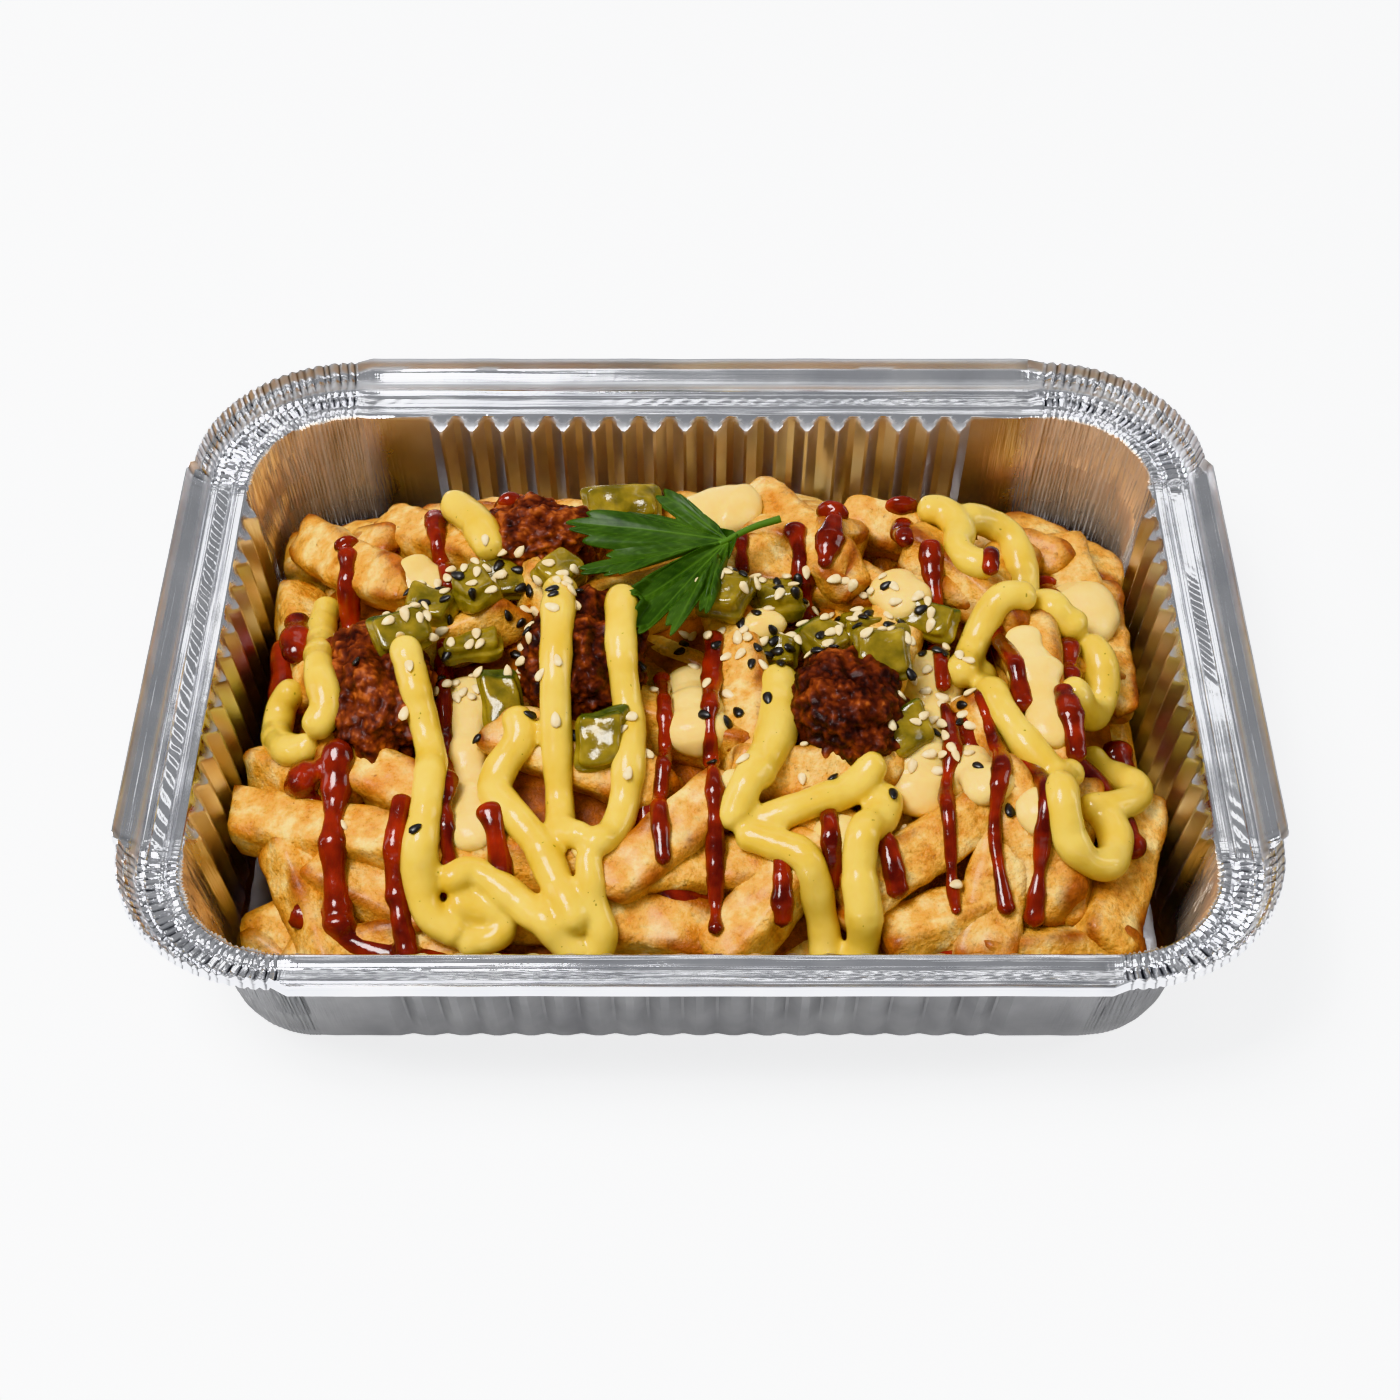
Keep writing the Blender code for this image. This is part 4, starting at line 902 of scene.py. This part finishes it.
def tube(path, radii, sides, flat=1.0):
    """A tube along a path: rings square to it, squashed by flat in height, with rounded ends."""
    ahead = np.gradient(path, axis=0)
    ahead /= np.linalg.norm(ahead, axis=1)[:, None]
    side = np.cross(ahead, (0, 0, 1))
    side /= np.maximum(np.linalg.norm(side, axis=1), 1e-6)[:, None]
    up = np.cross(side, ahead)
    angle = np.linspace(0, 2 * math.pi, sides, endpoint=False)
    rows = []
    for place, s, u, radius in zip(path, side, up, radii):
        rows.append(place + radius * (np.cos(angle)[:, None] * s + flat * np.sin(angle)[:, None] * u))
    points = np.concatenate(rows)
    faces = grid_faces(len(path), sides)
    faces.append(tuple(range(sides))[::-1])
    faces.append(tuple(range((len(path) - 1) * sides, len(path) * sides)))
    return points, faces


def strand(ground, points, start, end, radius, lift, settle, flat=1.0, seed=0, step=0.9, wobble=0.05):
    """A run of sauce laid on what is under it. settle is how stiffly it bridges hollows, in millimetres."""
    route = smooth_route(points, step)
    floor = []
    for x, y in route:
        heights = [ground.drop(x + shift * radius, y)[0] for shift in (0, 0.5, -0.5)]
        floor.append(0.6 * max(heights) + 0.4 * heights[0])
    floor = np.array(floor)
    height = floor.copy()
    for _ in range(3):
        height = np.maximum(blurred(height, settle / step), floor - radius * 0.35)
    height = blurred(height, 1.2 / step) + radius * lift
    path = np.c_[route, height]
    length = np.concatenate([[0], np.cumsum(np.linalg.norm(np.diff(path, axis=0), axis=1))])
    share = length / length[-1]
    radii = radius * (start + (end - start) * share)
    radii = radii * (1 + wobble * ripple(np.c_[length, length * 0, length * 0 + seed * 9.7], 11, seed + 100))
    radii = radii * (1 + wobble * 0.4 * ripple(np.c_[length, length * 0, length * 0], 4, seed + 400))
    tip = np.minimum(length, length[-1] - length)
    cap = np.clip(tip / (radii * 0.9), 0, 1)
    radii = radii * np.sqrt(np.clip(1 - (1 - cap) ** 2, 0.02, 1))
    return tube(path, radii, 20, flat)


def poured(name, parts, voxel, finish, smoothing):
    """Runs of sauce melted into one skin."""
    points, faces = merged(parts)
    made = piece(name, points, faces, finish)
    melt = made.modifiers.new("melt", "REMESH")
    melt.mode = "VOXEL"
    melt.voxel_size = voxel * MM
    melt.use_smooth_shade = True
    even = made.modifiers.new("even", "SMOOTH")
    even.factor = 0.5
    even.iterations = smoothing
    bake(made)
    made.data.shade_smooth()
    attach(made, "root")
    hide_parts("fries")
    return made


# Chicken, pickle, seeds and leaf


def chicken(number, x, y, long, wide, high, turn, finish):
    """A crumbed lump: the solid's own form, with crumbs and crags over it."""
    bm = bmesh.new()
    bmesh.ops.create_icosphere(bm, subdivisions=6, radius=0.5)
    spin = Matrix.Rotation(math.radians(turn), 3, "Z")
    centre = Vector((x, y, heap_top(x, y) - CHICKEN_SINK))
    size = Vector((long, wide, high))
    points = []
    for vert in bm.verts:
        crag = noise.noise(vert.co * 4 + Vector((number * 7, 0, 0))) * 0.16
        fine = noise.noise(vert.co * 11 + Vector((0, number * 5, 0))) * 0.10
        place = vert.co * (1 + crag + fine)
        points.append(spin @ Vector(a * b for a, b in zip(place, size)) + centre)
    normals = np.array([tuple((point - centre).normalized()) for point in points])
    heights = []
    for point in points:
        cell = noise.voronoi(point / 1.7, distance_metric="DISTANCE")[0]
        small = noise.voronoi(point / 0.8)[0]
        crumb = 0.7 * (0.62 - cell[0]) + 0.5 * (0.5 - small[0]) + 0.5 * noise.noise(point / 3.5)
        heights.append(crumb)
    heights = np.array(heights)
    placed = np.array([tuple(point) for point in points]) + normals * (heights * 1.0 - 0.2)[:, None]
    faces = [tuple(vert.index for vert in face.verts) for face in bm.faces]
    bm.free()
    # Painted shade: low crumbs make a darker crust, and each piece has its own painted shade over all of it
    shade = np.clip(0.32 - CHICKEN_DARK[number] + heights * 0.75, 0, 1)
    made = piece(f"chicken_crust_{number + 1}", keep_in(placed), faces, finish, height=shade)
    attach(made, "root")
    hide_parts(f"chicken_{number + 1}")
    return made


def pickle(number, long, wide, thick, turn, tilt, finish):
    """A cut piece of pickle with softened, wet corners. One narrow side keeps its skin."""
    name = f"pickle_{number + 1:02d}"
    low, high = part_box(name)
    centre = (low + high) / 2 / MM
    bm = bmesh.new()
    bmesh.ops.create_cube(bm, size=1)
    bmesh.ops.subdivide_edges(bm, edges=bm.edges, cuts=9, use_grid_fill=True)
    points = np.array([tuple(vert.co) for vert in bm.verts])
    faces = [tuple(vert.index for vert in face.verts) for face in bm.faces]
    bm.free()
    skin = (np.abs(points[:, 1] - 0.5) < 0.02).astype(float)
    norm = (np.abs(points * 2) ** 7).sum(1) ** (1 / 7)
    points = points / np.maximum(norm, 1e-6)[:, None] * np.abs(points * 2).max(1)[:, None]
    narrow = np.where(points[:, 2] > 0, 0.82, 1.0)
    draw = random.Random(SEED * 3 + number)
    wedge = 1 + draw.uniform(-0.3, 0.3) * points[:, 0] + draw.uniform(-0.3, 0.3) * points[:, 1]
    points = points * np.array((long, wide, thick)) * 1.06 * np.c_[narrow, narrow, wedge]
    points[:, 1] += draw.uniform(-0.2, 0.2) * points[:, 0]
    points = points + ripple(points, 9, 200 + number)[:, None] * points / 10 * 0.6
    points[:, 2] += ripple(points, 6, 300 + number) * 0.3
    spin = Matrix.Rotation(math.radians(turn), 3, "Z") @ Matrix.Rotation(math.radians(tilt), 3, "X")
    placed = points @ np.array(spin).T + np.array(centre)
    made = piece(f"cut_{name}", placed, faces, finish, skin=skin * (number % 3 != 1))
    smooth = made.modifiers.new("round", "SUBSURF")
    smooth.levels = 1
    bake(made)
    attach(made, "root")
    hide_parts(name)
    return made


def seed_shape(rings=8, sides=10):
    """One sesame seed: a flat drop, pointed at one end."""
    t = np.linspace(-1, 1, rings)
    angle = np.linspace(0, 2 * math.pi, sides, endpoint=False)
    rows = []
    for share in t:
        girth = max(0.03, math.sqrt(max(0, 1 - share**2))) * (1 - 0.32 * share)
        wide = np.cos(angle) * girth * 0.30
        rows.append(np.c_[np.full(sides, share * 0.5), wide, np.sin(angle) * girth * 0.17])
    faces = grid_faces(rings, sides)
    faces.append(tuple(range(sides))[::-1])
    faces.append(tuple(range((rings - 1) * sides, rings * sides)))
    return np.concatenate(rows), faces


def scatter(ground, finishes):
    """Sesame seeds, cream and black, lying on whatever is under them."""
    draw = random.Random(SEED + 5)
    shape, faces = seed_shape()
    sown = {"sesame_pale": [], "sesame_black": []}
    taken = []
    for x, y, long, wide, count in SESAME:
        for _ in range(count):
            angle = draw.uniform(0, 2 * math.pi)
            reach = math.sqrt(draw.random())
            px = x + long * reach * math.cos(angle)
            py = y + wide * reach * math.sin(angle)
            turn = draw.uniform(0, 2 * math.pi)
            size = SEED_LENGTH * draw.uniform(0.85, 1.12)
            kind = "sesame_black" if draw.random() < BLACK_SHARE else "sesame_pale"
            height, normal = ground.drop(px, py)
            near = [other for other in taken if math.hypot(other[0] - px, other[1] - py) < SEED_SPACE]
            if normal.z < 0.35 or near:
                continue
            taken.append((px, py))
            lean = normal.to_track_quat("Z", "X").to_matrix() @ Matrix.Rotation(turn, 3, "Z")
            lean = lean @ Matrix.Rotation(draw.uniform(-0.3, 0.3), 3, "Y")
            place = np.array((px, py, height)) + np.array(normal) * size * 0.09
            sown[kind].append((shape * size @ np.array(lean).T + place, faces))
    for name, parts in sown.items():
        points, joined = merged(parts)
        made = piece(name, points, joined, finishes[name])
        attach(made, "root")
        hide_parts("fries")


def parsley(ground, finish):
    """The leaf, toothed and folded along its leaflets' midribs, and its stem."""
    headings = np.array([heading for heading, _ in LEAF_OUTLINE], float)
    reaches = np.array([reach for _, reach in LEAF_OUTLINE], float)
    fine = np.linspace(116, 272, 469)
    reach = blurred(np.interp(fine, headings, reaches), 1.6)
    tooth = np.abs(np.sin(np.radians(fine) * 33)) - 0.6
    reach = reach * (1 + LEAF_TOOTH * tooth * np.clip(reach / 20, 0, 1))
    around = np.concatenate([fine, [320, 380, 430]])
    reach = np.concatenate([reach, [2, 2, 3]])
    turn = np.radians(around)
    shares = np.linspace(0.08, 1.0, 30)
    rows = []
    vein = []
    ribs = np.radians(LEAF_RIBS)
    for share in shares:
        out = reach * share
        x = LEAF_BASE[0] + out * np.cos(turn)
        y = LEAF_BASE[1] + out * np.sin(turn)
        near = np.min(np.abs(turn[:, None] - ribs[None, :]), axis=1)
        wave = LEAF_WAVE * share * (np.sin(turn * 9) + 0.4 * np.sin(turn * 23 + share * 5))
        furrow = np.clip(near * out / 3.5, 0, 1) * 0.9
        side = np.abs((out - near * out * 1.5) / 2.6 % 1 - 0.5) * 2
        z = np.array([max(ground.drop(a, b)[0] + LEAF_LIFT, LEAF_HEIGHT) for a, b in zip(x, y)])
        z = blurred(z, 10)
        rows.append(np.c_[x, y, z + wave + furrow + LEAF_WAVE * 0.5])
        fine_vein = np.clip((side - 0.75) * 4, 0, 1) * 0.3
        vein.append(np.maximum(np.clip(1 - near * out / 0.35, 0, 1) * (1 - share * 0.7) * 0.7, fine_vein))
    middle = np.array([[LEAF_BASE[0], LEAF_BASE[1], rows[0][:, 2].mean()]])
    points = np.concatenate([*rows, middle])
    count = len(around)
    faces = grid_faces(len(shares), count)
    for column in range(count):
        faces.append((column, len(points) - 1, (column + 1) % count))
    made = piece("parsley_leaf", points, faces, finish, vein=np.concatenate([*vein, [1.0]]))
    thick = made.modifiers.new("blade", "SOLIDIFY")
    thick.thickness = 0.3 * MM
    thick.offset = 0
    bake(made)
    made.data.shade_smooth()
    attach(made, "root")
    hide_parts("parsley")
    top = rows[0][:, 2].mean()
    route = smooth_route(((LEAF_BASE[0] - 2, LEAF_BASE[1] - 1), LEAF_BASE, (11, 26), LEAF_STEM), 0.7)
    path = np.c_[route, np.linspace(top, top + 1.5, len(route))]
    radii = np.linspace(0.6, 0.85, len(route))
    points, faces = tube(path, radii, 12)
    stem = piece("parsley_stem", points, faces, finish, vein=np.full(len(points), 0.55))
    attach(stem, "root")
    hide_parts("parsley")


# Stage


def camera():
    lens = bpy.data.cameras.new("camera")
    lens.sensor_width = 36
    lens.lens = LENS
    made = bpy.data.objects.new("camera", lens)
    bpy.context.scene.collection.objects.link(made)
    made.location = Vector(CAMERA_PLACE) * MM
    made.rotation_euler = (math.radians(90 - CAMERA_ELEVATION), 0, 0)
    bpy.context.scene.camera = made


def softbox(name, place, aim, width, height, power, colour=(1, 1, 1)):
    light = bpy.data.lights.new(name, "AREA")
    light.shape = "RECTANGLE"
    light.size = width
    light.size_y = height
    light.energy = power
    light.color = colour
    made = bpy.data.objects.new(name, light)
    bpy.context.scene.collection.objects.link(made)
    made.location = place
    made.rotation_euler = (Vector(aim) - Vector(place)).to_track_quat("-Z", "Y").to_euler()


def stage():
    corners = [(FLOOR_SIZE * x, FLOOR_SIZE * y, -0.02) for x, y in ((-1, -1), (1, -1), (1, 1), (-1, 1))]
    floor = piece("floor", corners, [(0, 1, 2, 3)], None)
    paper = Finish("paper", Roughness=0.8, Emission_Color=(1, 1, 1, 1), Emission_Strength=0.7)
    paper.set("Base Color", paper.grey(paper.noise(60, 2), 0.90, 0.92))
    floor.data.materials.append(paper.made)
    world = bpy.data.worlds.new("studio")
    world.use_nodes = True
    world.node_tree.nodes["Background"].inputs["Color"].default_value = (0.95, 0.97, 1.0, 1)
    world.node_tree.nodes["Background"].inputs["Strength"].default_value = 0.36
    bpy.context.scene.world = world
    bpy.context.scene.view_settings.view_transform = "Khronos PBR Neutral"
    softbox("key", (-0.35, -0.15, 0.9), (0, 0, 0.03), 0.4, 0.4, 9)
    softbox("back", (0.1, 0.85, 0.9), (0, 0, 0.03), 1.1, 0.16, 0.9)
    softbox("front", (0, -1.2, 0.42), (0, 0, 0.03), 1.4, 0.25, 1.0)
    softbox("left", (-1.0, 0.1, 0.4), (0, 0, 0.03), 0.25, 0.8, 1.5)
    softbox("right", (1.0, 0.1, 0.5), (0, 0, 0.03), 0.25, 0.8, 2)


def main():
    camera()
    stage()
    potato = potato_finish()
    mayo = mayo_finish()
    cream = cream_finish()
    red = red_finish()
    crumb = crumb_finish()
    green = pickle_finish()
    # The third colour of each goes on the corners' walls: inside it is a warm painted reflection of the
    # food, outside a plain grey
    inside = (srgb(212, 213, 217), srgb(232, 232, 234), srgb(240, 222, 200))
    # The outer sheet is the same foil, rougher, and given a far darker grey as painted shade on the tray's
    # outside
    outside = (srgb(122, 122, 124), srgb(144, 144, 145), srgb(136, 136, 138))
    tray(foil_finish("foil", *inside, 0.14, 0.40), foil_finish("foil_outside_shaded", *outside, 0.36, 0.48))
    ground = Ground()
    shown = [fry_shape(number, *spec) for number, spec in enumerate([*FRIES, *back_fries()])]
    shown += [fry_shape(300 + number, *spec) for number, spec in enumerate(TOP_FRIES)]
    ground.add(potato_piece("fries_shown", shown, potato))
    deep = [fry_shape(500 + number, *spec, 0.5) for number, spec in enumerate(deep_fries())]
    ground.add(potato_piece("fries_below", deep, potato))
    ground.add(core(potato))
    for number, spec in enumerate(CHICKEN):
        ground.add(chicken(number, *spec, crumb))
    parts = []
    for number, (size, points) in enumerate(CREAM):
        ends = (size * 1.05, size * 1.15)
        parts.append(strand(ground, points, *ends, CREAM_RADIUS, 0.05, 3, 0.6, 10 + number, wobble=0.12))
    ground.add(poured("cream_sauce", parts, 0.7, cream, 5))
    parts = []
    for number, (size, points) in enumerate(RED_RUNS):
        end = size * 0.9
        parts.append(strand(ground, points, size, end, RED_RADIUS, 0.3, 1.6, 0.8, 40 + number, wobble=0.16))
    for number, (size, points) in enumerate(RED_POOLS):
        route = smooth_route(points, 1.5)
        path = np.array([(x, y, heap_top(x, y) - POOL_DEPTH) for x, y in route])
        radii = RED_RADIUS * size * (1 + 0.12 * ripple(path, 12, 170 + number))
        parts.append(tube(path, radii, 16, 0.8))
    ground.add(poured("red_sauce", parts, 0.58, red, 3))
    parts = []
    for number, (start, end, points) in enumerate(MAYO):
        parts.append(strand(ground, points, start, end, MAYO_RADIUS, 0.55, 3.5, 0.95, 80 + number))
    ground.add(poured("yellow_sauce", parts, 0.64, mayo, 5))
    parts = []
    for number, (size, points) in enumerate(RED_OVER):
        parts.append(strand(ground, points, size, size, RED_RADIUS, 0.3, 1.6, 0.8, 140 + number, wobble=0.1))
    ground.add(poured("red_sauce_over", parts, 0.58, red, 3))
    for number, spec in enumerate(PICKLES):
        ground.add(pickle(number, *spec, green))
    parsley(ground, leaf_finish())
    finishes = {
        "sesame_pale": seed_finish("sesame_pale", srgb(226, 200, 150), srgb(246, 230, 190), 0.4),
        "sesame_black": seed_finish("sesame_black", srgb(22, 20, 20), srgb(44, 40, 38), 0.35),
    }
    scatter(ground, finishes)


main()
